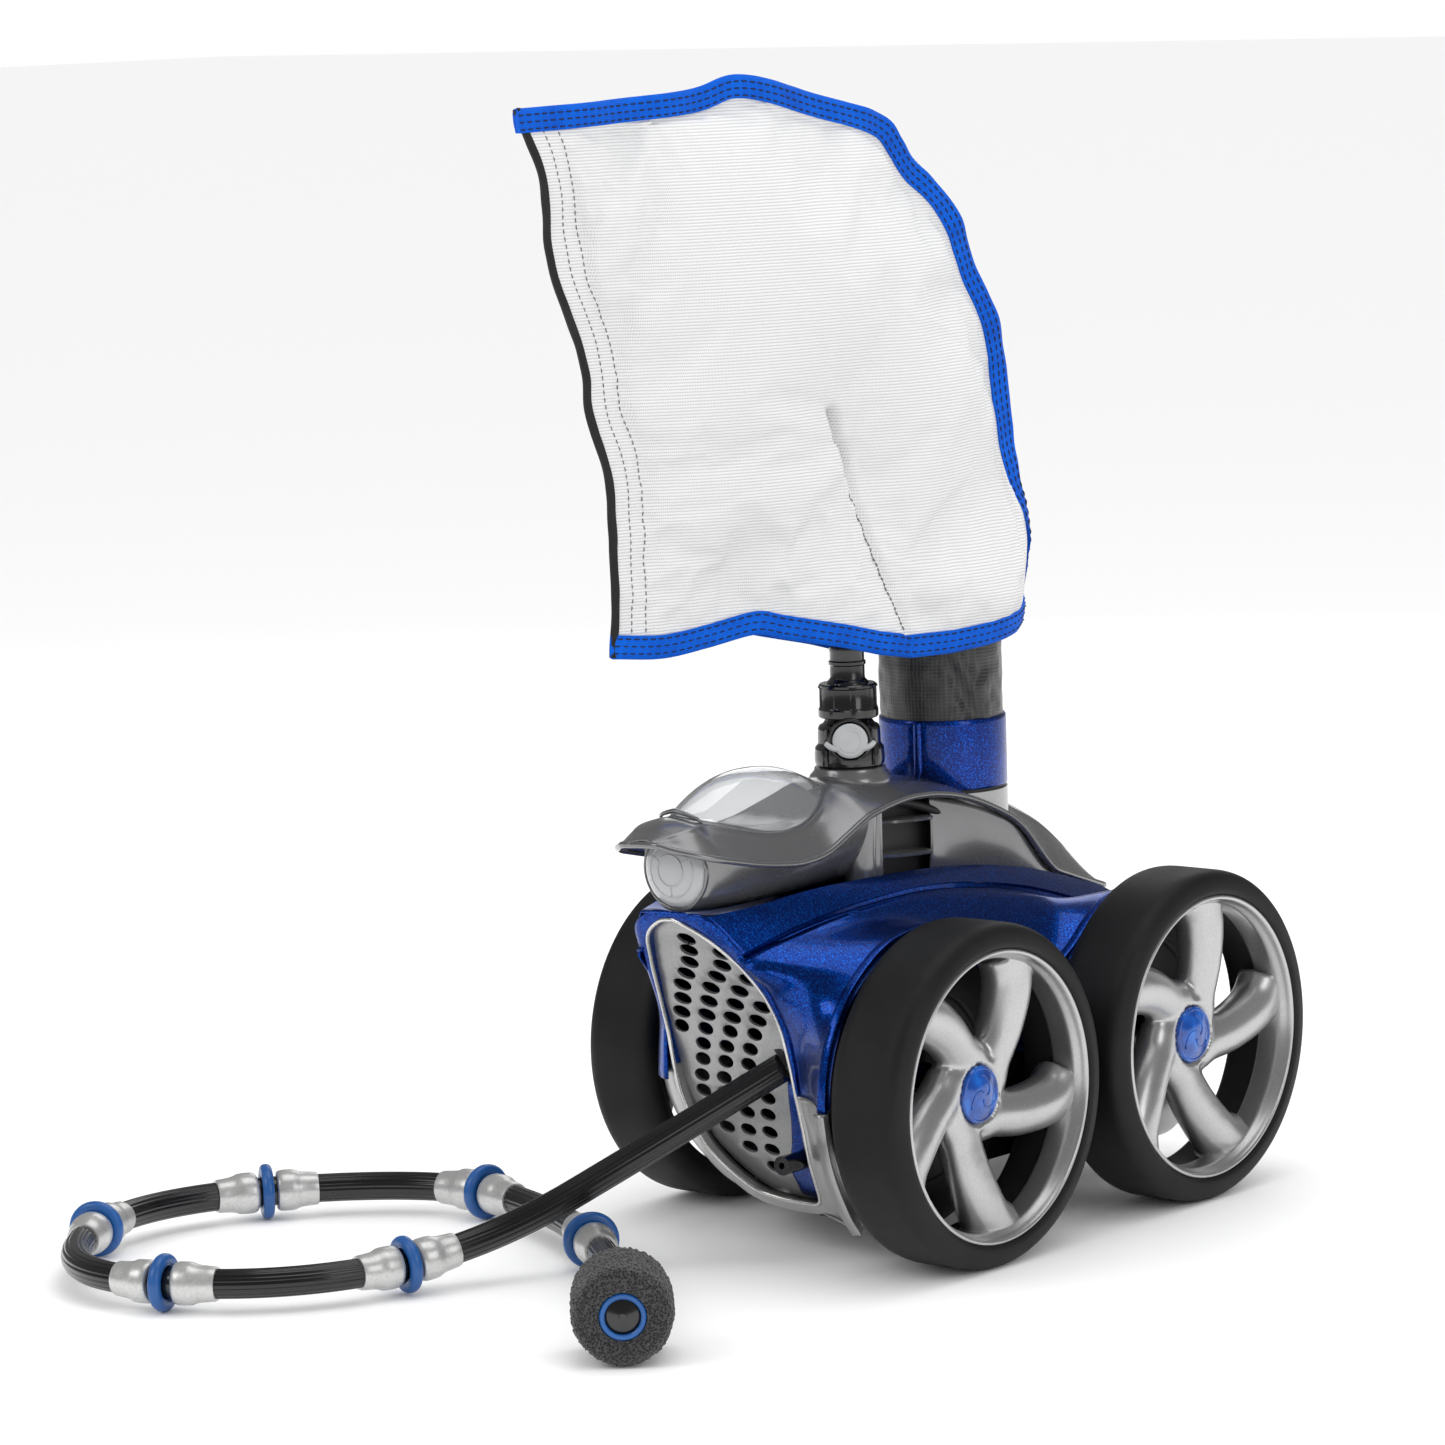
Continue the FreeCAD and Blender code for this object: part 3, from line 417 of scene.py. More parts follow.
# ================================================================ camera
camera = placed("camera", bpy.data.cameras.new("camera"))
bpy.context.scene.camera = camera
camera.data.sensor_width, camera.data.lens = 36.0, 144.5
AZIMUTH, ELEVATION, ROLL = math.radians(39.84), math.radians(7.64), math.radians(-1.79)
camera.matrix_world = (Matrix.Translation((2.0936, -2.6472, 0.7496)) @ Matrix.Rotation(AZIMUTH, 4, "Z")
                       @ Matrix.Rotation(math.pi / 2 - ELEVATION, 4, "X") @ Matrix.Rotation(ROLL, 4, "Z"))
camera.data.clip_start, camera.data.clip_end = 0.1, 50


# ================================================================ sweep hose and what rides on it
HOSE_R = 8.5
HOSE_ROUTE = [
    (34, -134, 115), (-8, -183, 80), (-90, -264, 17), (-128, -392, 16.7),
    (-262, -436, 16.7), (-364, -272, 16.7), (-240, -124, 16.7), (-112, -160, 16.7),
    (12, -255, 16.7), (79, -333, 28.5),
]


def route_points(route):
    """Points along the route's own NURBS line, in millimetres."""
    data = bpy.data.curves.new("hose_route", "CURVE")
    data.dimensions, data.resolution_u = "3D", 28
    spline = data.splines.new("NURBS")
    spline.points.add(len(route) - 1)
    for point, place in zip(spline.points, route):
        point.co = (*(c * MM for c in place), 1)
    spline.order_u = 3
    spline.use_endpoint_u = True
    obj = placed("hose_route", data)
    graph = bpy.context.evaluated_depsgraph_get()
    mesh = bpy.data.meshes.new_from_object(obj.evaluated_get(graph))
    points = [v.co / MM for v in mesh.vertices]
    bpy.data.objects.remove(obj)
    bpy.data.meshes.remove(mesh)
    return points


class Line:
    """Lengths along a line of points."""

    def __init__(self, points):
        self.points = points
        self.marks = [0.0]
        for a, b in zip(points, points[1:]):
            self.marks.append(self.marks[-1] + (b - a).length)
        self.length = self.marks[-1]

    def at(self, distance):
        for i, mark in enumerate(self.marks[1:]):
            if distance <= mark or i == len(self.points) - 2:
                a, b = self.points[i], self.points[i + 1]
                return a.lerp(b, (distance - self.marks[i]) / (b - a).length)

    def between(self, start, end, count):
        return [self.at(lerp(start, end, k / count)) for k in range(count + 1)]

    def nearest(self, place):
        best = min(range(len(self.points)), key=lambda i: (self.points[i] - place).length)
        spans = [self.marks[best] + d for d in range(-8, 9)]
        return min((s for s in spans if 0 <= s <= self.length), key=lambda s: (self.at(s) - place).length)


hose_line = Line(route_points(HOSE_ROUTE))
RIBS, RIB_DEPTH = 16, 0.5


def ribbed(share, angle):
    return HOSE_R - RIB_DEPTH * (1 - abs(math.cos(angle * RIBS / 2)) ** 0.6)


hose_path = hose_line.between(0, hose_line.length, 260)
hose = Shape().sweep(hose_path, ribbed, count=RIBS * 6).build("hose_tube", "hose", "chassis", ["sweep_hose"],
                                                             "hose_black", sharp=0)

RING_R, RING_SECTION, CUP_LENGTH, CUP_GAP = 12.6, 4.0, 25.0, 6.2
CUP_PROFILE = [(0.0, 9.0), (0.0, 10.6), (0.02, 11.4), (0.05, 11.9), (0.12, 12.3), (0.2, 12.4), (0.34, 12.35),
               (0.44, 12.1), (0.52, 11.2), (0.62, 10.6), (0.8, 10.2), (0.95, 9.95), (1.0, 9.5), (1.0, 8.6)]
on_hose = []
for number in range(1, 7):
    joint = next(j for j in frame["joints"] if j["name"] == "ring_%d_spin" % number)
    centre, axis = Vector(joint["pos_m"]) / MM, Vector(joint["axis"])
    profile = [(RING_R + RING_SECTION * 0.98 * math.cos(t), RING_SECTION * (1 + 0.12 * math.cos(2 * t)) * math.sin(t))
               for t in (TAU * k / 20 for k in range(20))]
    ring = Shape().lathe(profile, centre, axis, 72, closed=True).build(
        "ring_%d_rubber" % number, "ring", "ring_%d" % number, ["wear_ring_%d" % number], "ring_blue", sharp=0)
    on_hose.append(ring)
    middle = hose_line.nearest(centre)
    cups = Shape()
    for way in (-1, 1):
        near, far = middle + way * CUP_GAP, middle + way * (CUP_GAP + CUP_LENGTH)
        points = [hose_line.at(lerp(near, far, s)) for s, _ in CUP_PROFILE]
        d = (points[-1] - points[0]).normalized()
        a, b = frame_of(d)
        rows = [circle(p, a, b, r, 40) for p, (_, r) in zip(points, CUP_PROFILE)]
        cups.net(rows + [circle(points[-1], a, b, 8.0, 40)], wrap=True)
        cups.net([circle(points[0], a, b, 9.0, 40), circle(points[0] + d * 0.6, a, b, 8.2, 40)], wrap=True)
    on_hose.append(cups.build("cups_%d" % number, "cup", "chassis", ["hose_cups"], "shell_silver", sharp=50))
    sleeve = hose_line.between(middle - CUP_GAP - 1, middle + CUP_GAP + 1, 6)
    on_hose.append(Shape().sweep(sleeve, 8.75, count=40).build("sleeve_%d" % number, "black", "chassis"))

# ---- foam scrubber
FOAM_LENGTH = 54.0
FOAM_PROFILE = [(9.5, 3.0), (15, 0.8), (22, 0.2), (25.5, 1.2), (27.6, 4.0), (28.2, 9), (28.3, 20), (28.3, 34),
                (28.2, 45), (27.6, 50), (25.5, 52.8), (22, 53.8), (15, 53.6), (13.2, 52.6), (12.8, 50.5)]
end, before = hose_line.points[-1], hose_line.points[-6]
foam_axis = Vector((end.x - before.x, end.y - before.y, 0)).normalized()
foam_start = end + foam_axis * 2


def foam_shape():
    shape = Shape()
    across, up = frame_of(foam_axis)
    rows = []
    for r, h, _ in smooth_line([(r, h, 0) for r, h in FOAM_PROFILE], 84):
        row = []
        for k in range(200):
            t = TAU * k / 200
            direction = across * math.cos(t) + up * math.sin(t)
            p = foam_start + foam_axis * h + direction * r
            pore = noise.cell(p * 0.62) - 0.5
            lump = noise.noise(p * 0.9) * 0.7 + noise.noise(p * 0.08) * 0.6
            row.append(p + direction * min(0.0, (pore * 0.9 + lump) - 0.6) * 0.9 if r > 14 else p)
        rows.append(row)
    return shape.net(rows, wrap=True)


foam = foam_shape().build("foam_sponge", "foam", "chassis", ["scrubber_foam"], "foam_charcoal", sharp=0)
hub_end = end + foam_axis * (FOAM_LENGTH + 2)
hub = Shape().sweep([end - foam_axis * 4, end + foam_axis * 6], 9.2, count=40)
hub.lathe([(0.0, 0.6), (2.2, 0.6), (2.4, 0.0), (3.6, -0.2), (8.0, -1.6), (9.6, -2.2), (9.8, -6.0)], hub_end,
          foam_axis, 48)
hub_piece = hub.build("foam_hub", "black", "chassis", ["scrubber_hub"], "plastic_black")
hub_ring = Shape().lathe([(9.7, -3.0), (9.8, -0.4), (10.4, 0.2), (12.0, 0.2), (12.6, -0.5), (12.8, -3.5)], hub_end,
                         foam_axis, 48)
ring_piece = hub_ring.build("foam_hub_ring", "ring", "chassis")
on_hose += [foam, hub_piece, ring_piece]


# ================================================================ wheels
WHEEL_R, WHEEL_INNER = 99.0, 98.0                     # tyre radius, and how far out the wheel's inner face is
RIM_OUTER_R, SEAT_R, SEAT_HEIGHT = 83.6, 17.6, 31.0
WHEELS = {"front_right": (1, -78.0), "rear_right": (1, 132.0), "left": (-1, 0.0)}
TYRE_PROFILE = [(84.2, 3), (86, 1.2), (90, 0.4), (94, 1.2), (97.2, 3.6), (98.7, 8), (99, 14), (99, 25), (99, 36),
                (98.8, 41), (97.8, 44.6), (95.6, 47.4), (92.6, 48.9), (89, 49.7), (86.6, 49.8), (85.4, 49.2),
                (84.6, 48), (83.8, 44), (83.8, 25), (83.8, 6)]
SPOKE_PATH = [(14, -72), (20, -60), (27, -36), (45, -23), (63, -15), (75, -10), (84, -4)]


def wheel_tyre(name, side, y):
    Shape().lathe(outline_of(TYRE_PROFILE, 90), (side * WHEEL_INNER, y, WHEEL_R), (side, 0, 0), 144, closed=True).build(
        "tyre_%s_rubber" % name, "tyre", "wheel_" + name, ["tyre_" + name], "tyre_black", sharp=0)


def spoke_wheel():
    """Spokes, hub and inner band of one wheel, melted together, about the origin with the outer face to +X."""
    shape = Shape()
    for spoke in range(5):
        points = []
        for r, t in SPOKE_PATH:
            angle = math.radians(t + 72 * spoke)
            points.append((19.5 + 8 * min(1, r / 58), r * math.cos(angle), r * math.sin(angle)))
        shape.sweep(smooth_line(points, 40), lambda s, t: lerp(12.6, 16.6, s), count=28, squash=((1, 0, 0), 0.9))
    shape.lathe([(0, 12), (21, 12), (22.6, 16), (22.4, 30), (20.6, 33.6), (0, 33.6)], (0, 0, 0), (1, 0, 0), 60)
    shape.lathe([(80.8, 8), (86, 8), (86, 42), (80.8, 42)], (0, 0, 0), (1, 0, 0), 120, closed=True)
    obj = shape.build("spokes_raw", "rim", None)
    modifier(obj, "REMESH", mode="VOXEL", voxel_size=1.5 * MM, use_smooth_shade=True)
    modifier(obj, "SMOOTH", factor=0.5, iterations=14)
    applied(obj)
    bm = bmesh.new()
    bm.from_mesh(obj.data)
    outside = [v for v in bm.verts if math.hypot(v.co.y, v.co.z) > RIM_OUTER_R * MM]
    bmesh.ops.delete(bm, geom=outside, context="VERTS")
    for v in bm.verts:                                # a flat seat for the cap
        if math.hypot(v.co.y, v.co.z) < SEAT_R * MM:
            v.co.x = min(v.co.x, SEAT_HEIGHT * MM)
    bm.to_mesh(obj.data)
    bm.free()
    return obj


spokes = spoke_wheel()
RIM_LIP = [(83.7, 43.5), (84.3, 46.4), (84.2, 48.2), (83.2, 48.9), (82.0, 48.6), (81.3, 47.3), (80.6, 45.2),
           (79.6, 43.4), (78.6, 41.0), (78.5, 36.0), (78.6, 28.0), (79.2, 26.6), (80.6, 26.0), (83.7, 26.2)]
CAP_PROFILE = [(16.6, 31.6), (16.6, 33.6), (16.0, 34.4), (15.0, 34.6), (14.4, 34.2), (13.6, 34.4), (10, 35.8),
               (5, 36.8), (0, 37.1)]
BARREL = [(83.7, 27.0), (80.0, 26.8), (79.7, 20.0), (79.8, 8.0), (80.2, 5.5), (81.2, 4.6), (83.7, 4.8)]


def wheel_rim(name, side, y):
    mesh = spokes.data.copy()
    turn = Matrix.Rotation(math.radians(17 if name == "rear_right" else 0), 4, "X")
    place = Matrix.Translation((side * WHEEL_INNER * MM, y * MM, WHEEL_R * MM))
    mesh.transform(place @ Matrix.Diagonal((side, 1, 1, 1)) @ turn)
    if side < 0:                                      # a mirrored mesh is inside out
        mesh.flip_normals()
    dress(placed("spokes_" + name, mesh), "wheel_" + name, ["rim_" + name], sharp=0)
    at, axis = (side * WHEEL_INNER, y, WHEEL_R), (side, 0, 0)
    Shape().lathe(outline_of(RIM_LIP, 60), at, axis, 144, closed=True).build(
        "rim_lip_" + name, "rim", "wheel_" + name, finish="rim_silver", sharp=0)
    Shape().lathe(BARREL, at, axis, 120, closed=True).build("rim_barrel_" + name, "dull_black", "wheel_" + name)
    Shape().lathe(CAP_PROFILE, at, axis, 56).build(
        "cap_" + name, "cap", "wheel_" + name, ["hub_cap_" + name], "cap_blue", sharp=30)
    emblem = Shape()
    for k in range(3):
        points = []
        for s in range(13):
            t = math.radians(120 * k + 95 * s / 12)
            r = lerp(2.5, 12.2, s / 12)
            h = WHEEL_INNER + lerp(37.0, 35.2, (s / 12) ** 1.4)
            points.append((side * h, y + r * math.cos(t), WHEEL_R + r * math.sin(t)))
        emblem.sweep(points, 0.55, count=8)
    emblem.build("cap_swirl_" + name, "cap", "wheel_" + name, sharp=0)


WELL_PROFILE = [(15, 0), (15, 2.2), (30, 2.8), (31, 4.0), (33, 4.0), (34, 2.8), (54, 2.6), (55, 3.8), (57, 3.8),
                (58, 2.6), (78, 1.6), (82, 0.2), (82, -1)]


def wheel_well(name, side, y):
    """The dark dished plate behind a wheel, with round ribs, fixed to the body."""
    low = math.pi if name == "rear_right" else 0
    well = Shape().lathe(WELL_PROFILE, (side * 88.6, y, WHEEL_R), (side, 0, 0), 96, arc=TAU - low,
                         start=low if side > 0 else 0)
    thicken(well.build("wheel_well_" + name, "dull_black", "chassis", sharp=30), 1.2, 0)


for name, (side, y) in WHEELS.items():
    wheel_tyre(name, side, y)
    wheel_rim(name, side, y)
    wheel_well(name, side, y)
bpy.data.objects.remove(spokes)

# ================================================================ body shells
# The mouth's edge as (X, Z) seen from the front, and how far forward it stands at each height.
MOUTH_LINE = [(210, -188), (200, -185), (186, -174), (160, -155), (137, -143), (100, -139), (60, -128), (33, -110),
              (20, -104)]
MOUTH_LOOP = [(0, 205), (8, 202), (18, 196), (27, 186), (34, 175), (39, 158), (41, 139), (44.5, 119), (47, 100),
              (47, 80), (46.5, 63), (42.5, 44), (39.5, 34), (36, 30.5), (27, 30), (11, 30.7), (-4.5, 33.5), (-12, 38),
              (-20, 46), (-26, 55), (-32.5, 67), (-39, 89), (-42, 110), (-44, 130), (-42.5, 150), (-35, 174),
              (-25, 193), (-11, 203)]
# The outer corner round the mouth, point for point.
FACE_LOOP = [(0, -188.5, 210), (12, -188.5, 209.5), (24, -187.5, 208), (31, -181, 198), (38, -174, 186),
             (42.5, -157, 163), (45, -144.5, 139), (47.5, -141, 119), (49, -139.5, 100), (49.5, -133.5, 80),
             (49.5, -129, 62), (46.5, -118.5, 41), (43, -110, 29), (38, -108, 25), (28, -106, 23.5), (8, -106, 24.5),
             (-9, -106, 28.5), (-17, -108, 33), (-27, -113, 40), (-34, -118, 49), (-41.5, -123, 61),
             (-48.5, -130, 85), (-51, -134, 108), (-50, -140, 130), (-47, -150, 152), (-39, -170, 180),
             (-31, -184, 199), (-16, -188, 209)]
LOWER_FIRST, LOWER_LAST = 8, 22      # the part of the loops that the silver lower shell makes
RIDGE = [(24, -187.5, 208), (34, -151, 211), (44, -100, 215.5), (50, -4, 213), (50, 73, 202), (44, 141, 184),
         (40, 175, 173), (36, 200, 160), (30, 214, 140), (30, 220, 120), (32, 221.5, 100)]
CROWN = [(0, -188.5, 210), (0, -165, 203), (0, -100, 207), (0, -4, 206), (0, 73, 196), (0, 141, 179), (0, 175, 168),
         (0, 200, 156), (0, 216, 138), (0, 222, 120), (0, 223, 100)]
CROWN_SIDE = [(12, -188.5, 209.5), (18, -162, 205.5), (24, -100, 209), (27, -4, 208), (27, 73, 198), (24, 141, 181),
              (22, 175, 170), (19, 200, 157.5), (15, 215.5, 139), (15, 221.5, 120), (15, 222.5, 100)]
BEVEL = [(38, -174, 186), (48, -133, 198), (58, -81, 206), (62, -20, 206.6), (60, 60, 194), (52, 145, 170),
         (47, 178, 158), (43, 200, 146), (38, 212, 132), (40, 218, 116), (46, 219.5, 100)]
INNER_FRONT = [(49, -139.5, 100), (47.5, -141, 119), (45, -144.5, 139), (42.5, -157, 163), (39.2, -173, 182.4)]
RIGHT_LIP = [(87.5, -170.5, 100), (87.5, -168, 121), (87.5, -160.5, 142), (87, -147, 161), (86.5, -131, 174),
             (86, -112, 184.5), (85.5, -92, 189.5), (85.5, -68, 190.5), (86, -44, 184.5), (87, -22, 171),
             (88, -2, 156), (89, 18, 146), (89, 40, 147), (89, 62, 157), (88, 86, 173), (86.5, 104, 181),
             (86, 124, 184), (85, 152, 179), (84, 180, 163), (82, 201, 139), (83, 206, 116), (88, 205, 100)]
LEFT_LIP = [(87.5, -92.5, 100), (87.5, -90, 121), (87.5, -82, 142), (87, -69, 161), (86.5, -53, 175), (86, -34, 185),
            (85.5, -14, 190), (85.5, 10, 190), (86, 34, 185), (87, 56, 173), (88, 76, 160), (88, 96, 153),
            (88, 116, 152), (87, 136, 154), (86, 152, 154), (86, 166, 150), (85, 178, 146), (84, 190, 140),
            (82, 200, 132), (83, 206, 116), (88, 205, 100)]
ALONG, ACROSS = 120, 10              # steps along and across a flank
TUBE_Y, HOLE_R = 66.5, 34.8          # the suction tube's place, and the hole for it in the underside
PARTING_Z, UNDERSIDE_Z = 100, 20


def inner_line(side):
    """The flank's inner edge: up beside the mouth, then back along the foot of the bevel's groove."""
    return sided(INNER_FRONT + [(x + 1.2, y, z - 3.8) for x, y, z in BEVEL[1:]], side)


def between(a, b, x, y, z):
    """A bent row from a to b, whose control point stands at these shares of the way."""
    return bezier(a, Vector((lerp(a.x, b.x, x), lerp(a.y, b.y, y), lerp(a.z, b.z, z))), b, ACROSS)


def flank_rows(side, lip):
    inner, outer = smooth_line(inner_line(side), ALONG), smooth_line(sided(lip, side), ALONG)
    rows = []
    for i, (a, b) in enumerate(zip(inner, outer)):
        share = i / ALONG
        forward = table_value([(0, 0.06), (0.25, 0.4), (0.4, 0.55), (1, 0.5)], share)
        height = table_value([(0, 0.5), (0.2, 0.75), (0.4, 0.85), (1, 0.75)], share)
        rows.append(between(a, b, 0.42, forward, height))
    return rows, outer


def matched(points, count):
    """Like smooth_line, but with the same number of steps between each pair of corners."""
    pts = [Vector(p) for p in points]
    spans = len(pts) - 1
    result = []
    for k in range(count + 1):
        place = k / count * spans
        i = min(int(place), spans - 1)
        t = place - i
        p1, p2 = pts[i], pts[i + 1]
        p0 = pts[i - 1] if i else p1 * 2 - p2
        p3 = pts[i + 2] if i + 2 < len(pts) else p2 * 2 - p1
        result.append(catmull(p0, p1, p2, p3, t))
    return result


def lip_rows(outer, side):
    """The raised band round the wheel arch, then the flat side wall down to the parting line."""
    rows = []
    for i, p in enumerate(outer):
        t = outer[min(i + 1, len(outer) - 1)] - outer[max(i - 1, 0)]
        flat = Vector((0, t.y, t.z)).normalized()
        n = Vector((0, -flat.z, flat.y))
        x = Vector((side, 0, 0))
        row = [p, p + n * 1.2 + x * 0.2, p + n * 1.7 + x * 1.0, p + n * 1.7 + x * 5.0, p + n * 1.2 + x * 5.9,
               p + n * 0.2 + x * 6.2, p - n * 3 + x * 6.2, p - n * 3.6 - x * 0.5]
        wall = row[-1]
        row += [wall.lerp(Vector((wall.x, wall.y, PARTING_Z)), k / 4) for k in range(1, 5)]
        rows.append(row)
    return rows


def tube_hole(shape, radius):
    """Opens a round hole where the suction tube passes, its edge inside the tube's wall."""
    for i, (x, y, z) in enumerate(shape.verts):
        r = math.hypot(x, y - TUBE_Y)
        if radius - 5 < r < radius + 5:
            k = radius / r
            shape.verts[i] = (x * k, TUBE_Y + (y - TUBE_Y) * k, z)

    def stays(face):
        x, y, z = (sum(shape.verts[i][axis] for i in face) / len(face) for axis in range(3))
        return math.hypot(x, y - TUBE_Y) > radius - 1 or z < 120

    shape.faces = [face for face in shape.faces if stays(face)]


PER_EDGE = 6


def loop_points(loop):
    return matched(loop + loop[:1], PER_EDGE * len(loop))[:-1]


mouth_line = loop_points([(x, table_value(MOUTH_LINE, z), z) for x, z in MOUTH_LOOP])
face_line = loop_points(FACE_LOOP)


def part_of(line, first, last):
    """The points of a closed line from one corner of it to another, going round past the start if need be."""
    first, last = first * PER_EDGE, last * PER_EDGE
    span = (last - first) % len(line) or len(line)
    return [line[(first + k) % len(line)] for k in range(span + 1)]


def face_rows(first, last):
    """From the outer corner over a small round to the mouth's edge, then the wall inside it."""
    rows = []
    for outer, edge in zip(part_of(face_line, first, last), part_of(mouth_line, first, last)):
        middle = outer.lerp(edge, 0.5) + Vector((0, -0.8, 0))
        rows.append([outer, outer.lerp(middle, 0.5), middle, edge.lerp(middle, 0.3), edge,
                     edge + Vector((0, 5, 0)), edge + Vector((0, 9, 0))])
    return rows


def build_upper_shell():
    shell = Shape()
    shell.net(face_rows(LOWER_LAST, LOWER_FIRST + len(MOUTH_LOOP)))
    ridge, crown, crown_side, bevel = (smooth_line(rail, ALONG) for rail in (RIDGE, CROWN, CROWN_SIDE, BEVEL))
    rails = [sided(ridge, -1), sided(crown_side, -1), crown, crown_side, ridge]
    shell.net([matched(row, 20) for row in zip(*rails)])
    for side, lip in ((1, RIGHT_LIP), (-1, LEFT_LIP)):
        band = []
        out = Vector((side, 0, 0))
        for r, b in zip(sided(ridge, side), sided(bevel, side)):
            mid = r.lerp(b, 0.5) + Vector((side * 0.4, 0, 0.6))
            groove = [b - out * 0.2 - Vector((0, 0, 0.7)), b - out * 2.4 - Vector((0, 0, 1.0)),
                      b - out * 2.2 - Vector((0, 0, 3.4)), b + out * 1.2 - Vector((0, 0, 3.8))]
            band.append([r, r.lerp(mid, 0.5) + Vector((0, 0, 0.2)), mid, mid.lerp(b, 0.6), b] + groove)
        shell.net(band)
        rows, outer = flank_rows(side, lip)
        shell.net(rows)
        shell.net(lip_rows(outer, side))
    tube_hole(shell, 33.3)
    obj = shell.build("upper_shell_skin", "shell_blue", "chassis", ["upper_shell"], "shell_blue", sharp=32)
    thicken(obj, 1.3)
    return obj


LOWER_RAILS = {                      # half of the lower shell's vertical lines, from the parting line to the floor
    "arch": [(87.5, -170.5, 100), (88, -167.5, 80), (88, -161.5, 62), (86.5, -149, 41), (82, -136, 29), (74, -124, 23)],
    "front": [(88, -100, 100), (89, -100, 78), (88.5, -100, 58), (85, -100, 38), (77, -101, 25), (66, -102, 20)],
    "middle": [(89, 0, 100), (90, 0, 78), (89.5, 0, 58), (86, 0, 38), (78, 0, 25), (66, 0, 20)],
    "back": [(88, 110, 100), (89, 110, 78), (88.5, 110, 58), (85, 110, 38), (77, 110, 25), (66, 110, 20)],
    "tail": [(87, 188, 100), (88, 188, 78), (87, 187, 58), (83, 184, 38), (75, 179, 25), (64, 172, 20)],
    "corner": [(84, 208, 100), (84, 207, 78), (83, 204, 58), (78, 198, 38), (70, 190, 25), (60, 182, 20)],
    "rear": [(58, 220, 100), (58, 219, 78), (57, 216, 58), (54, 210, 38), (48, 202, 25), (42, 194, 20)],
    "rear_middle": [(0, 223, 100), (0, 222, 78), (0, 219, 58), (0, 213, 38), (0, 205, 25), (0, 197, 20)],
}
LEFT_FRONT = [(-88, -92, 100), (-88, -82, 78), (-80, -72, 58), (-70, -60, 38), (-58, -55, 25), (-45, -60, 20)]


def build_lower_shell():
    shell = Shape()
    shell.net(face_rows(LOWER_FIRST, LOWER_LAST))
    steps = 24
    right = [LOWER_RAILS[k] for k in ("arch", "front", "middle", "back", "tail", "corner", "rear", "rear_middle")]
    left = [sided(LOWER_RAILS[k], -1) for k in ("rear", "corner", "tail", "back", "middle")] + [LEFT_FRONT]
    ring = [smooth_line(r, steps) for r in right + left]
    columns = [matched([rail[i] for rail in ring], 160) for i in range(steps + 1)]
    shell.net(columns)
    shell.net([row[:8] for row in lip_rows(smooth_line(LOWER_RAILS["arch"], 40), 1)])
    # Right front: a hollow sweep from beside the mouth out to the arch.
    inner = part_of(face_line, LOWER_FIRST, LOWER_FIRST + 5)
    arch = matched(LOWER_RAILS["arch"], len(inner) - 1)
    shell.net([between(a, b, 0.42, 0.12, 0.5) for a, b in zip(inner, arch)])
    # Left front: round from beside the mouth to the left arch.
    inner = list(reversed(part_of(face_line, LOWER_LAST - 7, LOWER_LAST)))
    outer = matched(LEFT_FRONT, len(inner) - 1)
    shell.net([between(a, b, 0.6, 0.25, 0.6) for a, b in zip(inner, outer)])
    # Underside, open where the suction tube comes through.
    chin = [Vector(p) for p in part_of(face_line, LOWER_FIRST + 5, LOWER_LAST - 7)]
    rim = columns[-1] + chin[::-1]
    hole = []
    for p in rim:
        angle = math.atan2(p.y - TUBE_Y, p.x)
        hole.append(Vector((HOLE_R * math.cos(angle), TUBE_Y + HOLE_R * math.sin(angle), UNDERSIDE_Z)))
    rows = [rim] + [[p.lerp(h, t) for p, h in zip(rim, hole)] for t in (0.12, 0.3, 0.6, 0.85, 1.0)]
    for row in rows[1:]:
        for p in row:
            p.z = UNDERSIDE_Z
    shell.net(rows, wrap=True)
    obj = shell.build("lower_shell_skin", "shell_silver", "chassis", ["lower_shell"], "shell_silver", sharp=32)
    thicken(obj, 1.3)
    return obj


build_upper_shell()
build_lower_shell()
bezel = [p + Vector((0, -0.6, 0)) for p in mouth_line]
Shape().sweep(bezel, 1.15, count=10, closed=True).build("mouth_bezel", "bezel", "chassis", finish="shell_silver",
                                                       sharp=0)


# ---------------------------------------------------------------- grille
GRILLE_LINE = [(204, -180), (196, -177), (186, -169), (160, -152), (137, -141), (117, -136), (100, -133),
               (82, -127), (60, -117), (40, -104), (30, -98)]
HOLE_ROWS = [199, 191.5, 184, 176, 168, 160, 151, 142, 133, 123.5, 114, 104, 94.5, 84, 72.5, 61, 49]
# Where the second column of holes stands at each height, and how far apart the columns are.
HOLE_COLUMN = [(45, -47), (61, -39), (84, -30), (104, -27), (124, -22), (142, -14), (160, -3), (175, 14), (190, 22)]
HOLE_PITCH = [(45, 17), (84, 15.4), (124, 17.5), (151, 19.5), (175, 24), (200, 24)]
HOLE_HALF = (5.6, 3.9)
GRID = 4.1                                            # spacing of the plate's inner points


def inside(loop, x, z, margin):
    """True where a point is in the loop and further than the margin from its edge."""
    hit = False
    for (x1, z1), (x2, z2) in zip(loop, loop[1:] + loop[:1]):
        if (z1 > z) != (z2 > z) and x < x1 + (z - z1) / (z2 - z1) * (x2 - x1):
            hit = not hit
        t = max(0, min(1, ((x - x1) * (x2 - x1) + (z - z1) * (z2 - z1)) / ((x2 - x1) ** 2 + (z2 - z1) ** 2)))
        if math.hypot(x - x1 - t * (x2 - x1), z - z1 - t * (z2 - z1)) < margin:
            return False
    return hit


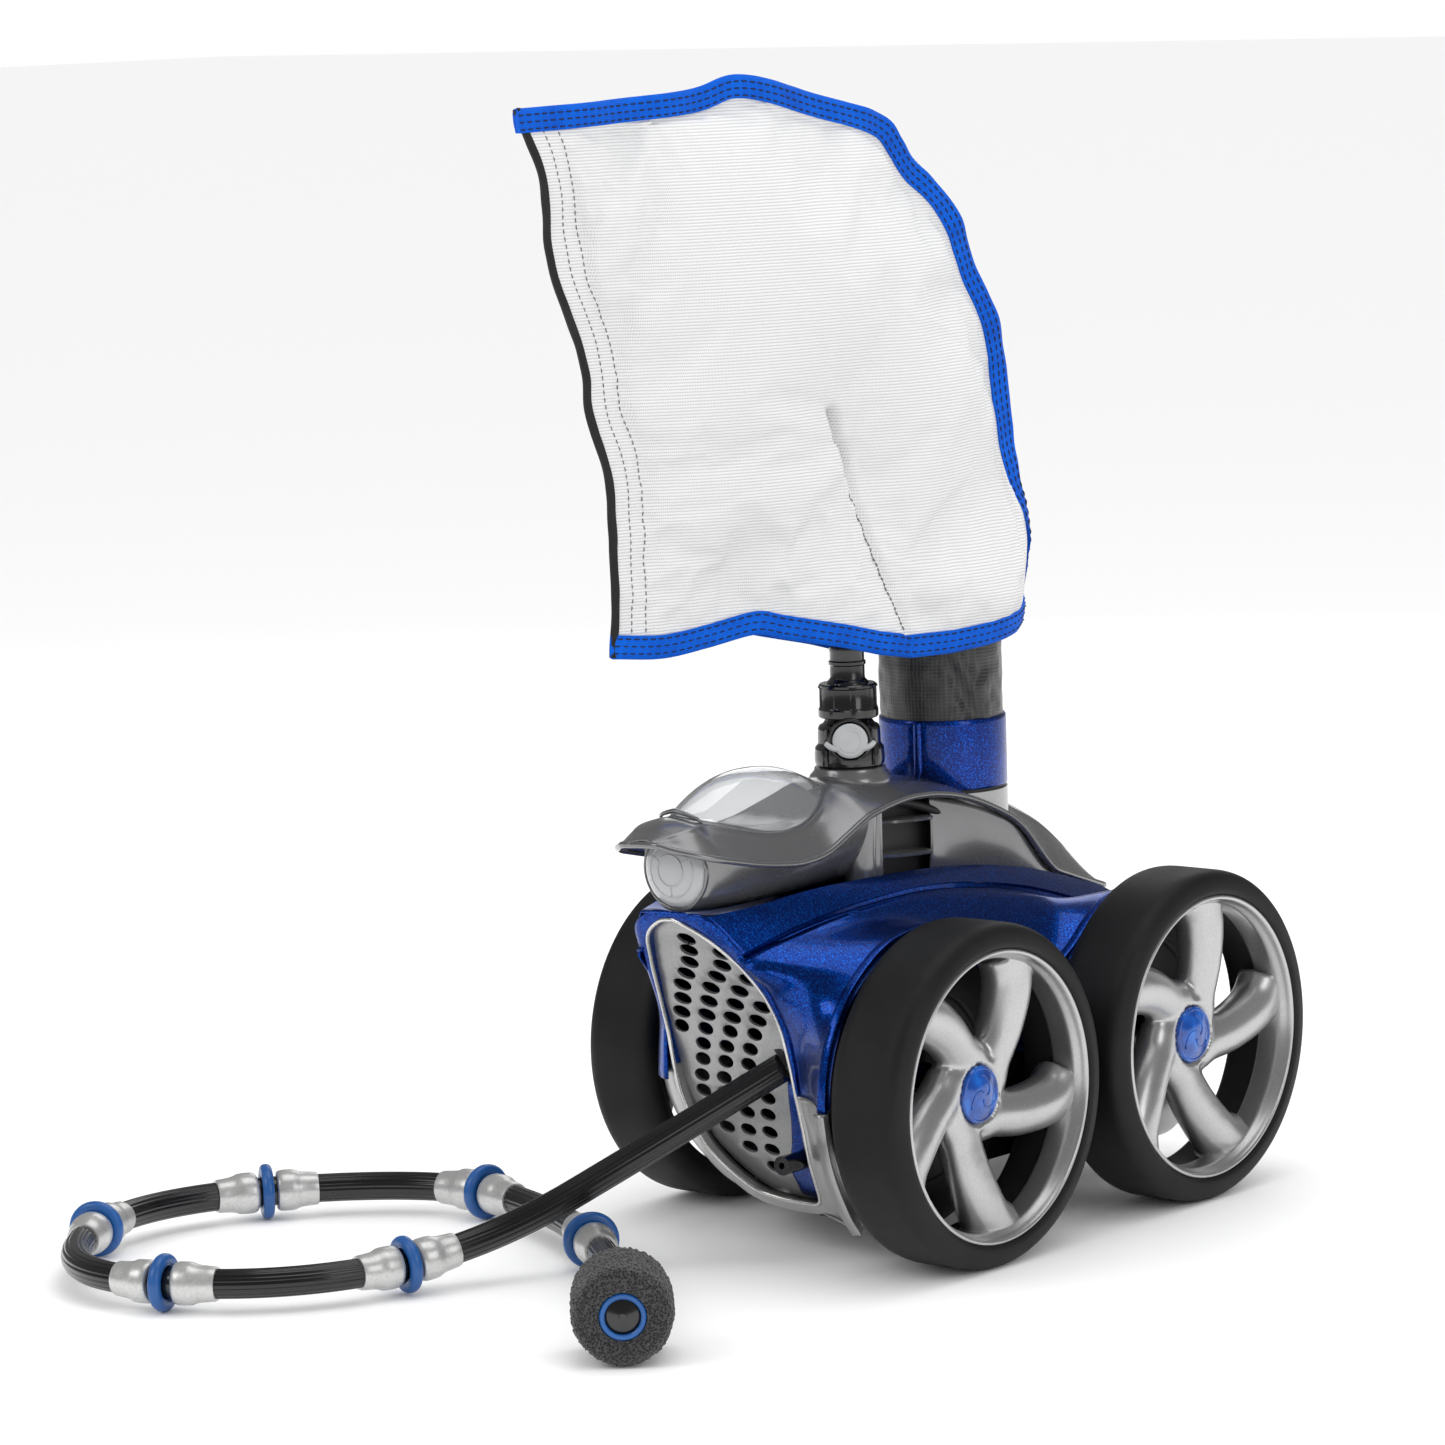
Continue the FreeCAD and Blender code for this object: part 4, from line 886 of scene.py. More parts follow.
def build_grille():
    """A curved plate that fills the mouth, pierced by oval holes, and the blue flange at its right."""
    from mathutils.geometry import delaunay_2d_cdt
    edge = [(p.x, p.z) for p in mouth_line]
    places = [Vector(p) for p in edge]
    edges = [(i, (i + 1) % len(edge)) for i in range(len(edge))]
    holes = []
    for row, z in enumerate(HOLE_ROWS):
        first, pitch = table_value(HOLE_COLUMN, z), table_value(HOLE_PITCH, z)
        shift = pitch / 2 if row == 0 else 0
        for column in range(-2, 6):
            x = first + (column - 1) * pitch + shift
            limit = table_value([(30, 24), (84, 24), (112, 29), (130, 60)], z)
            if not inside(MOUTH_LOOP, x, z, 9.0 if z < 120 else 7.0) or x > limit:
                continue
            if math.hypot(x - 33, z - 117) < 16 or math.hypot(x - 37, z - 59) < 11:
                continue
            wide = HOLE_HALF[0] * (1.15 if z > 140 else 1.0)
            base = len(places)
            places += [Vector((x + wide * math.cos(a), z + HOLE_HALF[1] * math.sin(a)))
                       for a in (TAU * k / 28 for k in range(28))]
            edges += [(base + k, base + (k + 1) % 28) for k in range(28)]
            holes.append((x, z, wide))

    def in_hole(x, z, grow):
        return any(((x - a) / (w + grow)) ** 2 + ((z - b) / (HOLE_HALF[1] + grow)) ** 2 < 1 for a, b, w in holes)

    for i in range(-11, 12):
        for j in range(8, 52):
            x, z = i * GRID, j * GRID
            if inside(MOUTH_LOOP, x, z, 1.5) and not in_hole(x, z, 0.8):
                places.append(Vector((x, z)))
    flat, _, faces, _, _, _ = delaunay_2d_cdt(places, edges, [], 0, 1e-4)
    kept = []
    for face in faces:
        x, z = (sum(flat[i][axis] for i in face) / len(face) for axis in (0, 1))
        if inside(edge, x, z, 0.0) and not in_hole(x, z, 0.0):
            kept.append(tuple(face))
    plate = Shape().add([(p.x, table_value(GRILLE_LINE, p.y), p.y) for p in flat], kept)
    obj = plate.build("grille_plate", "grille", "chassis", ["front_grille"], "grille_grey", sharp=30)
    thicken(obj, 2.0)
    modifier(obj, "BEVEL", width=0.4 * MM, segments=2, limit_method="ANGLE", angle_limit=math.radians(50))
    # The flange between the grille's right edge and the mouth, lower half.
    rows = []
    for z in range(118, 30, -4):
        width = table_value([(30, 17), (37, 20), (49, 23), (67, 17), (83, 14), (106, 11.5), (118, 3)], z)
        edge_x = table_value([(30, 36), (34, 39.5), (44, 42.5), (63, 46.5), (80, 47), (100, 47), (119, 44.5)], z)
        y = table_value(MOUTH_LINE, z)
        section = ((0.2, 2.5), (0.35 * width, 4.5), (0.8 * width, 6.0), (width, 7.5), (width + 0.5, 11))
        rows.append([(edge_x - inward, y + back, z) for inward, back in section])
    flange = Shape().net([matched(r, 12) for r in rows]).build("grille_flange", "shell_blue", "chassis", sharp=30)
    thicken(flange, 1.0, 0)


build_grille()


# ================================================================ head
# Stations along Y: (Y, brim half width, brim Z, dome edge half width, dome edge Z, centre Z)
HEAD = [(-212, 10, 251.5, 5, 253.5, 254.2), (-206, 21, 248, 10, 255.5, 257.2), (-199, 29, 245.5, 14, 258, 261),
        (-189, 35, 242.5, 16, 260, 263.5), (-178, 38.5, 240, 13, 260.5, 262.5), (-160, 41.5, 236, 20.5, 256, 256.5),
        (-140, 42.5, 233, 25.6, 251, 250.5), (-121, 43, 231.7, 27, 249, 248.5), (-100, 43, 234, 25.3, 250.5, 249),
        (-82, 43, 241, 20.5, 256.5, 254.5), (-66, 42.5, 247.5, 12, 264.5, 263), (-56, 42, 250.5, 14, 267, 268),
        (-35, 41.5, 254, 19, 265, 268), (-15, 41, 255.3, 20, 263.5, 266), (12, 41, 253.2, 21, 260, 262.5),
        (41, 41.5, 246.2, 22, 253.5, 256.5), (73, 42, 233, 22, 245.5, 249.5), (90, 42, 221.5, 22, 238.5, 243.5),
        (104, 42, 207, 22, 232, 238), (118, 41, 195, 21, 226, 233), (134, 39, 189, 20, 218, 225),
        (156, 36, 182, 18, 203, 209), (182, 32, 174, 16, 181, 184)]
DOME_Y, DOME_HALF, DOME_TOP, DOME_STEPS = -121.0, (28.0, 62.0), 283.0, 96


def build_head_cover():
    sections = [[(w, y, low + 0.8), (lerp(w, ex, 0.35), y, lerp(low, ez, 0.42)),
                 (lerp(w, ex, 0.72), y, lerp(low, ez, 0.80)), (ex, y, ez), (0, y, top)]
                for y, w, low, ex, ez, top in HEAD]
    rails = [matched(rail, 180) for rail in zip(*sections)]
    cover = Shape().net([matched(list(half) + sided(half[-2::-1], -1), 56) for half in zip(*rails)])
    tube_hole(cover, 33.6)
    obj = cover.build("head_cover_skin", "head_silver", "chassis", ["head_cover"], "head_silver", sharp=35)
    thicken(obj, 1.6)
    rim = [Vector((p.x - 0.2, p.y, p.z - 0.9)) for p in rails[0]]
    loop = rim[::-1] + sided(rim, -1)
    Shape().sweep(smooth_line(loop[::4], 300), 2.0, count=14).build("head_brim", "head_silver", "chassis",
                                                                   finish="head_silver", sharp=0)


def head_height(x, y):
    """The cover's height over a point of the plan."""
    stations = sorted(HEAD)
    for a, b in zip(stations, stations[1:]):
        if a[0] <= y <= b[0]:
            t = (y - a[0]) / (b[0] - a[0])
            _, w, low, ex, ez, top = (lerp(p, q, t) for p, q in zip(a, b))
            x = abs(x)
            return lerp(top, ez, x / ex) if x < ex else lerp(ez, low, (x - ex) / max(w - ex, 1e-3))
    return 0.0


def dome_edge(turn):
    x = DOME_HALF[0] * math.sin(turn)
    y = DOME_Y + DOME_HALF[1] * math.cos(turn)
    if y < DOME_Y:                                    # the front end draws out to a point, like a leaf
        x *= 1 - 0.28 * ((DOME_Y - y) / DOME_HALF[1]) ** 2
    return x, y


def build_dome():
    """The clear cover over the float, with a thin foot that stands on the head."""
    rows = []
    for k in range(1, 21):
        share = math.sin(math.pi / 2 * k / 20)
        row = []
        for i in range(DOME_STEPS):
            x, y = dome_edge(TAU * i / DOME_STEPS)
            edge = head_height(x, y) + 0.3
            x, y = x * share, DOME_Y + (y - DOME_Y) * share
            crown = DOME_TOP - 0.0016 * (y - DOME_Y) ** 2 * share
            row.append(Vector((x, y, lerp(edge, crown, (1 - share ** 2.1) ** 0.75))))
        rows.append(row)
    dome = Shape().net(rows, wrap=True)
    dome.faces.append(tuple(reversed(range(DOME_STEPS))))
    obj = dome.build("head_dome_clear", "dome", "chassis", ["head_dome"], "window_clear", sharp=0)
    thicken(obj, 1.2)
    foot = [Vector((*edge, head_height(*edge) + 0.4)) for edge in (dome_edge(TAU * i / 120) for i in range(120))]
    Shape().sweep(foot, 0.8, count=8, closed=True).build("head_dome_foot", "head_silver", "chassis", sharp=0)
    lip = []
    for k in range(25):
        t = math.pi * k / 24
        x, y = 15 * math.cos(t), -176 - 6 * math.sin(t)
        lip.append(Vector((x, y, head_height(x, y) + 0.5 + 3.2 * math.sin(t))))
    Shape().sweep(lip, lambda s, t: 0.5 + 1.5 * math.sin(math.pi * s), count=12, squash=((0, 0, 1), 0.7)).build(
        "head_dome_lip", "head_silver", "chassis", sharp=0)


# The bowl's stations along Y: (Y, half width, top, bottom), and its section as shares of width and depth.
BOWL = [(-184, 22, 245, 209), (-178, 26, 242, 208), (-165, 31, 240, 207), (-145, 35, 236, 207), (-121, 37, 234, 207.5),
        (-100, 37.5, 236, 208), (-80, 37.5, 243, 208), (-62, 37, 249, 208), (-50, 36, 252, 208), (-46, 30, 253, 208)]
BOWL_SECTION = [(1, 0), (0.985, 0.22), (0.90, 0.52), (0.70, 0.80), (0.38, 0.96), (0, 1)]
# The inner panel's stations along Y: (Y, top, bottom), and its half width at each Y.
PANEL = [(8, 252, 203), (20, 249, 202), (41, 243, 200), (60, 236, 197), (80, 227, 192), (98, 212, 188), (112, 199, 184),
         (124, 191, 178), (134, 187, 174)]
PANEL_HALF = [(8, 34), (20, 37), (41, 39.9), (60, 40.6), (80, 40.5), (98, 39.6), (112, 38.6), (134, 37)]
VENT_FIN = [(-40, 26), (-34, 31), (-26, 35.5), (-10, 38), (4, 37.5)]


def build_head_base():
    """Bowl under the beak, post, vent with two fins, and the inner panel."""
    rows = []
    for y, w, low, bottom in BOWL:
        half = [(w * wide, y, lerp(low, bottom, down)) for wide, down in BOWL_SECTION]
        rows.append(half + sided(half[-2::-1], -1))
    columns = [matched(c, 60) for c in zip(*rows)]
    obj = Shape().net([matched(r, 40) for r in zip(*columns)]).build(
        "head_bowl", "head_silver", "chassis", ["head_base"], "head_silver", sharp=40)
    thicken(obj, 1.4)
    for side, tag in ((1, "right"), (-1, "left")):
        post = Shape().sweep([(side * 27, -50, 208), (side * 27, -50, 230), (side * 28, -49, 253)], 9.5, count=40)
        post.sweep([(side * 25.5, -40, 208), (side * 26, -40, 254)], 8.5, count=40)
        post.build("head_post_" + tag, "head_silver", "chassis", sharp=50)
        back = Shape().net([matched([(side * 22, y, 203), (side * 23, y, 228), (side * 24, y, 254)], 6)
                            for y in (-44, -20, 0, 20, 44)])
        thicken(back.build("head_vent_back_" + tag, "inner", "chassis", sharp=30), 1.5, 0)
        fins = Shape()
        for z, reach in ((241, 12), (221, 10)):
            blade = []
            for y, out in VENT_FIN + [(reach, 34), (reach + 3, 28)]:
                tilt = (y + 14) * -0.06
                section = ((22, 1.4), (out - 2, 1.5), (out, 0.4), (out - 0.6, -1.2), (out - 4, -1.6), (22, -1.4))
                blade.append([(side * x, y, z + tilt + up) for x, up in section])
            fins.net(list(zip(*(smooth_line(c, 30) for c in zip(*blade)))), wrap=True, caps=True)
        fins.build("head_fins_" + tag, "head_silver", "chassis", sharp=35)
        arch = sided([(33, -30, 253), (33.5, -10, 250), (34, 18, 240), (34, 38, 225), (34, 47, 206)], side)
        Shape().sweep(smooth_line(arch, 40), 2.6, count=14).build("head_arch_" + tag, "dull_black", "chassis", sharp=0)
        panel = []
        for y, top, low in PANEL:
            wide = table_value(PANEL_HALF, y)
            section = [(wide - 2, y, low), (wide, y, lerp(low, top, 0.4)), (wide, y, lerp(low, top, 0.75)),
                       (wide - 0.6, y, top)]
            panel.append(matched(sided(section, side), 12))
        skin = Shape().net([smooth_line(c, 40) for c in zip(*panel)]).build(
            "head_panel_" + tag, "head_silver", "chassis", sharp=40)
        thicken(skin, 1.2, 0)


def build_lens():
    """A round translucent lens with moulded rings of a plain pattern."""
    at, axis = (0, -183.5, 233), (0, -1, 0)
    profile = [(0, 5.2), (6, 5.0), (12, 4.3), (17, 3.2), (20.4, 1.7), (21.8, 0.2), (22.2, -2.0), (22.2, -4.5)]
    obj = Shape().lathe(profile, at, axis, 72).build(
        "nose_lens_clear", "lens", "chassis", ["nose_lens"], "window_clear", sharp=0)
    thicken(obj, 1.0)
    marks = Shape()
    for radius, height in ((9, 4.6), (15.5, 3.4)):
        middle = Vector((0, at[1] - height - 0.1, at[2]))
        marks.sweep(circle(middle, Vector((1, 0, 0)), Vector((0, 0, 1)), radius, 60), 0.55, count=8, closed=True)
    for turn in (30, 150, 270):
        c, s = math.cos(math.radians(turn)), math.sin(math.radians(turn))
        spoke = [(r * c, at[1] - h - 0.1, at[2] + r * s) for r, h in ((9, 4.6), (12, 4.1), (15.5, 3.4))]
        marks.sweep(spoke, 0.5, count=8)
    marks.build("nose_lens_rings", "lens", "chassis", finish="window_clear", sharp=0)
    rim = Shape().lathe([(21.6, -3.5), (22.4, -3.5), (23.2, -1.5), (23.4, 0.2), (22.6, 0.9), (22.0, 0.2)], at, axis, 72,
                        closed=True)
    rim.build("nose_lens_rim", "head_silver", "chassis", finish="head_silver", sharp=0)
    back = Shape().lathe([(0, -3.2), (16, -3.4), (21, -4.2), (21.5, -5)], at, axis, 48)
    back.build("nose_lens_back", "release", "chassis", sharp=0)


def build_head_shade_wall():
    """A dark wall down the middle of the head's tail, a painted shade under the brim, so that nothing shows through
    there.
    """
    rows = [[(0, y, 160), (0, y, head_height(0, y) - 3)] for y in (100, 112, 126, 140, 156)]
    wall = Shape().net(rows).build("head_shade_wall", "dull_black", "chassis", sharp=30)
    thicken(wall, 2, 0)


build_head_shade_wall()
build_head_cover()
build_dome()
build_head_base()
build_lens()


# ================================================================ bag, neck and collar
BAG_TURN = math.radians(11)
HEM = [(-53, 350), (-44, 343), (-25, 339), (0, 336), (30, 334), (55, 334), (78, 338), (101, 344), (128, 350),
       (154, 356), (184, 351), (215, 347.5), (248, 350)]
REAR = [(-53, 350), (-60, 372), (-68, 395), (-67, 426), (-61, 474), (-54, 511), (-39, 547), (-24, 584), (-5, 608),
        (10, 621), (19, 633)]
TOP = [(19, 633), (36, 648), (82, 661), (141, 675), (178, 668), (244, 664), (303, 662)]
FRONT = [(248, 350), (246, 406), (247, 451), (258, 486), (264, 526), (280, 561), (288, 617), (303, 662)]
HEM_OFF = {1: [(-53, 0), (-50, 13), (-42, 24), (-30, 33), (-15, 38.5), (0, 40), (20, 40), (50, 37), (75, 34.5),
               (95, 32), (115, 27), (140, 19), (175, 10), (215, 5), (248, 0)],
           -1: [(-53, 0), (-50, -13), (-42, -24), (-30, -33), (-15, -38.5), (0, -40), (15, -38), (30, -30), (45, -18),
                (60, -9), (91, -4), (150, -2.5), (248, 0)]}
SEAM = [(101, 479), (93, 455), (84, 428), (74, 395), (66, 370), (57, 347)]
TAPE = 13.0


BAG_COS, BAG_SIN = math.cos(BAG_TURN), math.sin(BAG_TURN)
BAG_OUT = Vector((BAG_COS, -BAG_SIN, 0))              # square to the bag's flat plane, to the right


def bag_point(s, z, off):
    return Vector((-BAG_SIN * s + BAG_COS * off, TUBE_Y - BAG_COS * s - BAG_SIN * off, z))


def flat_line(points, count):
    return [(p.x, p.y) for p in smooth_line([(s, z, 0) for s, z in points], count)]


def hem_line(side, count):
    """The hem of one face as (s, z, offset), spread evenly along the cloth."""
    corners = sorted({p[0] for p in HEM + HEM_OFF[side]})
    return smooth_line([(s, table_value(HEM, s), table_value(HEM_OFF[side], s)) for s in corners], count)


def wave(s, z):
    """How far the bag's flat edge stands out of its plane."""
    return 5.0 * noise.noise(Vector((s / 42, z / 46, 3.1))) + 1.6 * noise.noise(Vector((s / 15, z / 17, 8.2)))


def far_from(line, s, z):
    return min(math.hypot(s - a, z - b) for a, b in line)


NU, NV = 84, 88                                       # steps of a face along the hem and up the edges
SEAM_FOOT, SEAM_HEAD = 347, 479
edge_top, edge_rear, edge_front = flat_line(TOP, NU), flat_line(REAR, NV), flat_line(FRONT, NV)


def bag_face(side):
    """One face of the bag, a grid between its hem, its two edges and its top."""
    hem = hem_line(side, NU)
    corner = [(hem[0].x, hem[0].y), (hem[-1].x, hem[-1].y), edge_top[0], edge_top[-1]]
    rows, pins = [], []
    seam = flat_line(SEAM, 60)
    for j in range(NV + 1):
        v = j / NV
        row = []
        for i in range(NU + 1):
            u = i / NU
            place = []
            for axis in (0, 1):
                value = ((1 - v) * hem[i][axis] + v * edge_top[i][axis]
                         + (1 - u) * edge_rear[j][axis] + u * edge_front[j][axis])
                value -= (1 - u) * (1 - v) * corner[0][axis] + u * (1 - v) * corner[1][axis]
                value -= (1 - u) * v * corner[2][axis] + u * v * corner[3][axis]
                place.append(value)
            row.append(place)
        if j:                                         # one point of each row moves onto the seam
            middle = min(range(NU + 1), key=lambda i: far_from(seam, *row[i]))
            near = min(seam, key=lambda p: math.hypot(p[0] - row[middle][0], p[1] - row[middle][1]))
            if math.hypot(near[0] - row[middle][0], near[1] - row[middle][1]) < 3.2:
                row[middle] = list(near)
        line = []
        for i, (s, z) in enumerate(row):
            rise = z - hem[i].y
            edge = min(far_from(edge_top[::3], s, z), far_from(edge_rear[::3], s, z), far_from(edge_front[::3], s, z))
            ends = i in (0, NU) or j == NV
            inner = max(0.0, edge - TAPE - 3)
            off = 0.0 if ends else side * (0.7 + 24 * (1 - math.exp(-inner / 42)))
            blend = max(0.0, min(1.0, (rise - TAPE) / 95))
            off = lerp(hem[i].z if not ends or j == 0 else 0.0, off, blend * blend * (3 - 2 * blend))
            if ends:
                off = 0.0 if j else hem[i].z
            front_flat = i > NU / 2 and far_from(edge_front[::3], s, z) < 24
            pinned = ends or edge < TAPE + 2.5 or rise < TAPE + 1.5 or front_flat
            if front_flat and rise > 40:
                off = side * 0.9 if not ends else 0.0
            if edge < 45 and rise > 30:
                off += wave(s, z) * math.exp(-max(0, edge - 20) / 20)
            if far_from(seam, s, z) < 0.6:
                depth = (z - SEAM_FOOT) / (SEAM_HEAD - SEAM_FOOT)
                foot, head = (table_value(HEM_OFF[1], 57) * 0.9, 5.0) if side > 0 else (9, 12)
                off = side * lerp(foot, head, depth)
                pinned = True
            line.append((s, z, off))
            pins.append(pinned)
        rows.append(line)
    return rows, pins


FACES = {}
STEPS, MOST_MOVED = 24, 34 * MM                       # of the cloth simulation


def make_bag():
    shape, pins = Shape(), []
    for side in (1, -1):
        rows, held = bag_face(side)
        FACES[side] = [[bag_point(*p) for p in row] for row in rows]
        shape.net(FACES[side])
        pins += held
    pinned_at = {tuple(round(c, 2) for c in v) for v, p in zip(shape.verts, pins) if p}
    bag = shape.build("bag_mesh", "mesh", None, weld=0.05, sharp=0)
    group = bag.vertex_groups.new(name="pin")
    for vertex in bag.data.vertices:
        if tuple(round(c / MM, 2) for c in vertex.co) in pinned_at:
            group.add([vertex.index], 1.0, "REPLACE")
    start = [v.co.copy() for v in bag.data.vertices]
    cloth = bag.modifiers.new("cloth", "CLOTH")
    s = cloth.settings
    s.quality, s.mass = 6, 0.3
    s.tension_stiffness = s.compression_stiffness = 12
    s.shear_stiffness, s.bending_stiffness = 3, 0.06
    s.vertex_group_mass = "pin"
    s.use_pressure, s.uniform_pressure_force = True, 3.0
    s.shrink_min = -0.06
    s.effector_weights.gravity = 0
    cloth.point_cache.frame_start, cloth.point_cache.frame_end = 1, STEPS
    for number in range(1, STEPS + 1):
        bpy.context.scene.frame_set(number)
    applied(bag)
    for vertex, first in zip(bag.data.vertices, start):
        moved = vertex.co - first
        if moved.length > MOST_MOVED:
            vertex.co = first + moved * (MOST_MOVED / moved.length)
    bpy.context.scene.frame_set(1)
    bag.vertex_groups.clear()
    modifier(bag, "SUBSURF", levels=1, render_levels=1)
    applied(bag)
    dress(bag, "bag", ["bag_body"], sharp=0)
    return bag


def mesh_cloth():
    f = Finish("bag_mesh_cloth", (0.74, 0.74, 0.74), rough=0.85, sheen=0.08, specular=0.15)
    ribs = f.wave(175, "Z", distortion=0.6)
    weft = f.wave(420, "Y", distortion=0.3)
    f.paint(f.math("ADD", f.math("MULTIPLY", ribs, 0.7), f.math("MULTIPLY", weft, 0.3)),
            [(0.1, (0.50, 0.50, 0.50)), (0.45, (0.72, 0.72, 0.72)), (0.9, (0.79, 0.79, 0.79))])
    f.bump([ribs, f.math("MULTIPLY", weft, 0.5), f.math("MULTIPLY", f.noise(1400, 2), 0.5)], 0.5, 0.35)
    return f.material


def tape_cloth():
    f = Finish("binding_tape", (0.0, 0.10, 0.62), rough=0.75, sheen=0.05, specular=0.12)
    weave = f.math("MULTIPLY", f.wave(330, "Z"), f.wave(330, "Y"))
    f.paint(f.math("ADD", f.math("MULTIPLY", weave, 0.5), f.math("MULTIPLY", f.noise(60, 4), 0.6)),
            [(0.15, (0.0, 0.055, 0.40)), (0.5, (0.0, 0.10, 0.60)), (0.85, (0.0, 0.15, 0.75))])
    f.bump([weave, f.noise(120, 3)], 0.4, 0.3)
    return f.material


def ripstop():
    f = Finish("neck_ripstop", (0.008, 0.008, 0.009), rough=0.36, sheen=0.2, coat=0.15, coat_rough=0.3)
    around = f.wave(150, "Z")
    up = f.wave(150, "X")
    grid = f.math("POWER", f.math("MAXIMUM", around, up), 6.0)
    f.paint(grid, [(0.0, (0.006, 0.006, 0.0065)), (1.0, (0.03, 0.03, 0.032))])
    f.bump([grid, f.math("MULTIPLY", f.noise(900, 2), 0.5)], 0.35, 0.25)
    f.roughness(f.noise(60, 5), 0.28, 0.5)
    return f.material


M["mesh"], M["tape"], M["neck"] = mesh_cloth(), tape_cloth(), ripstop()
M["thread"] = moulded("thread_dark", (0.01, 0.012, 0.03), 0.7)
M["thread_grey"] = moulded("thread_grey", (0.18, 0.18, 0.18), 0.8)
M["edge_black"] = moulded("edge_strip_black", (0.006, 0.006, 0.006), 0.7, texture=600, depth=0.15, strength=0.5)
bag = make_bag()
LOOSE_Z, LOOSE_BLEND = 400, 60       # below this height, and this much above, the rear tape leaves the flat plane


def strip_rows(points, inward, profile):
    """Rows of a folded strip: (depth, offset) points set across a line of (s, z) places."""
    rows = []
    for (s, z), (ns, nz) in zip(points, inward):
        row = [bag_point(s + ns * d, z + nz * d, wave(s + ns * d, z + nz * d) + off) for d, off in profile]
        if z < LOOSE_Z + LOOSE_BLEND and s < 0:       # here the tape goes round the open foot of the bag
            share = max(0.0, (z - LOOSE_Z) / LOOSE_BLEND)
            j = min(range(NV + 1), key=lambda k: abs(edge_rear[k][1] - z))
            centre = bag_point(60, z, 0)
            for k, (d, off) in enumerate(profile):
                line = Line(FACES[1 if off >= 0 else -1][j][:20])
                p, q = line.at(max(d, 0)), line.at(max(d, 0) + 2)
                out = (q - p).cross(Vector((0, 0, 1))).normalized()
                around = p + out * abs(off) * (1 if out.dot(p - centre) > 0 else -1)
                row[k] = around.lerp(row[k], share)
        rows.append(row)
    return rows


def normals_of(points):
    """A unit (s, z) direction across the line at each of its points, to its left."""
    result = []
    for i in range(len(points)):
        a, b = points[max(i - 2, 0)], points[min(i + 2, len(points) - 1)]
        length = math.hypot(b[0] - a[0], b[1] - a[1])
        result.append((-(b[1] - a[1]) / length, (b[0] - a[0]) / length))
    return result


def stitch_row(shape, places, normals, length=3.4, gap=2.0, radius=0.42):
    """Short threads along a line of places, half sunk in the cloth."""
    line = Line([Vector(p) for p in places])
    at = 1.0
    while at + length < line.length:
        a, b = line.at(at), line.at(at + length)
        n = Vector(normals[min(int(at / line.length * len(normals)), len(normals) - 1)])
        mid = a.lerp(b, 0.5) + n * radius * 0.9
        shape.sweep([a - n * 0.25, mid, b - n * 0.25], radius, count=5)
        at += length + gap


def edge_tape():
    """The folded tape over the bag's top and rear edges, with its three rows of stitches on each face."""
    points = flat_line(TOP[::-1] + REAR[-2::-1], 190)
    inward = normals_of(points)
    profile = [(TAPE, 2.1), (TAPE * 0.6, 2.4), (TAPE * 0.2, 2.2), (0.0, 1.6), (-0.7, 0.5), (0.0, -1.6),
               (TAPE * 0.2, -2.2), (TAPE * 0.6, -2.4), (TAPE, -2.1)]
    tape = Shape().net(strip_rows(points, inward, profile), wrap=True, caps=True)
    tape.build("bag_edge_tape", "tape", "bag", ["bag_binding"], "binding_blue", sharp=50)
    threads = Shape()
    for side in (1, -1):
        for depth, lift in ((3.2, 2.4), (7.2, 2.4), (11.2, 2.25)):
            places = [row[0] for row in strip_rows(points, inward, [(depth, side * lift)])]
            stitch_row(threads, places, [BAG_OUT * side] * len(places))
    threads.build("bag_edge_stitches", "thread", "bag", sharp=0)


def hem_tape():
    """The tape round the bag's open lower hem, a loop of two walls."""
    columns = [[row[i] for row in FACES[1][:12]] for i in range(NU + 1)]
    columns += [[row[i] for row in FACES[-1][:12]] for i in range(NU - 1, 0, -1)]
    walls = [Line(column) for column in columns]
    loop = [column[0] for column in columns]
    count = len(loop)
    outs = []
    for i in range(count):
        t = loop[(i + 1) % count] - loop[i - 1]
        outs.append(Vector((-t.y, t.x, 0)).normalized())
    flip = 1 if outs[count // 4].x > 0 else -1
    outs = [o * flip for o in outs]
    section = ((-0.8, 0.0), (0.0, 1.3), (2.5, 1.8), (8, 1.9), (TAPE, 1.5), (TAPE, -1.5), (8, -1.8), (2.5, -1.8),
               (0, -1.3))
    rows = [[wall.at(max(h, 0)) + out * o + Vector((0, 0, min(h, 0))) for h, o in section]
            for wall, out in zip(walls, outs)]
    Shape().net(rows, wrap=True, join=True).build("bag_hem_tape", "tape", "bag", finish="binding_blue", sharp=50)
    threads = Shape()
    for height in (2.6, 6.8, 11.0):
        places = [wall.at(height) + out * 1.8 for wall, out in zip(walls, outs)]
        stitch_row(threads, places + places[:1], outs + outs[:1])
    threads.build("bag_hem_stitches", "thread", "bag", sharp=0)


def front_strip():
    points = flat_line(FRONT, 150)
    inward = normals_of(points)
    profile = [(3.4, 1.5), (1.0, 1.9), (-0.9, 0.9), (-0.9, -0.9), (1.0, -1.9), (3.4, -1.5)]
    strip = Shape().net(strip_rows(points, inward, profile), wrap=True, caps=True)
    strip.build("bag_front_strip", "edge_black", "bag", ["bag_front_hem"], "hem_black", sharp=60)


edge_tape()
hem_tape()
front_strip()


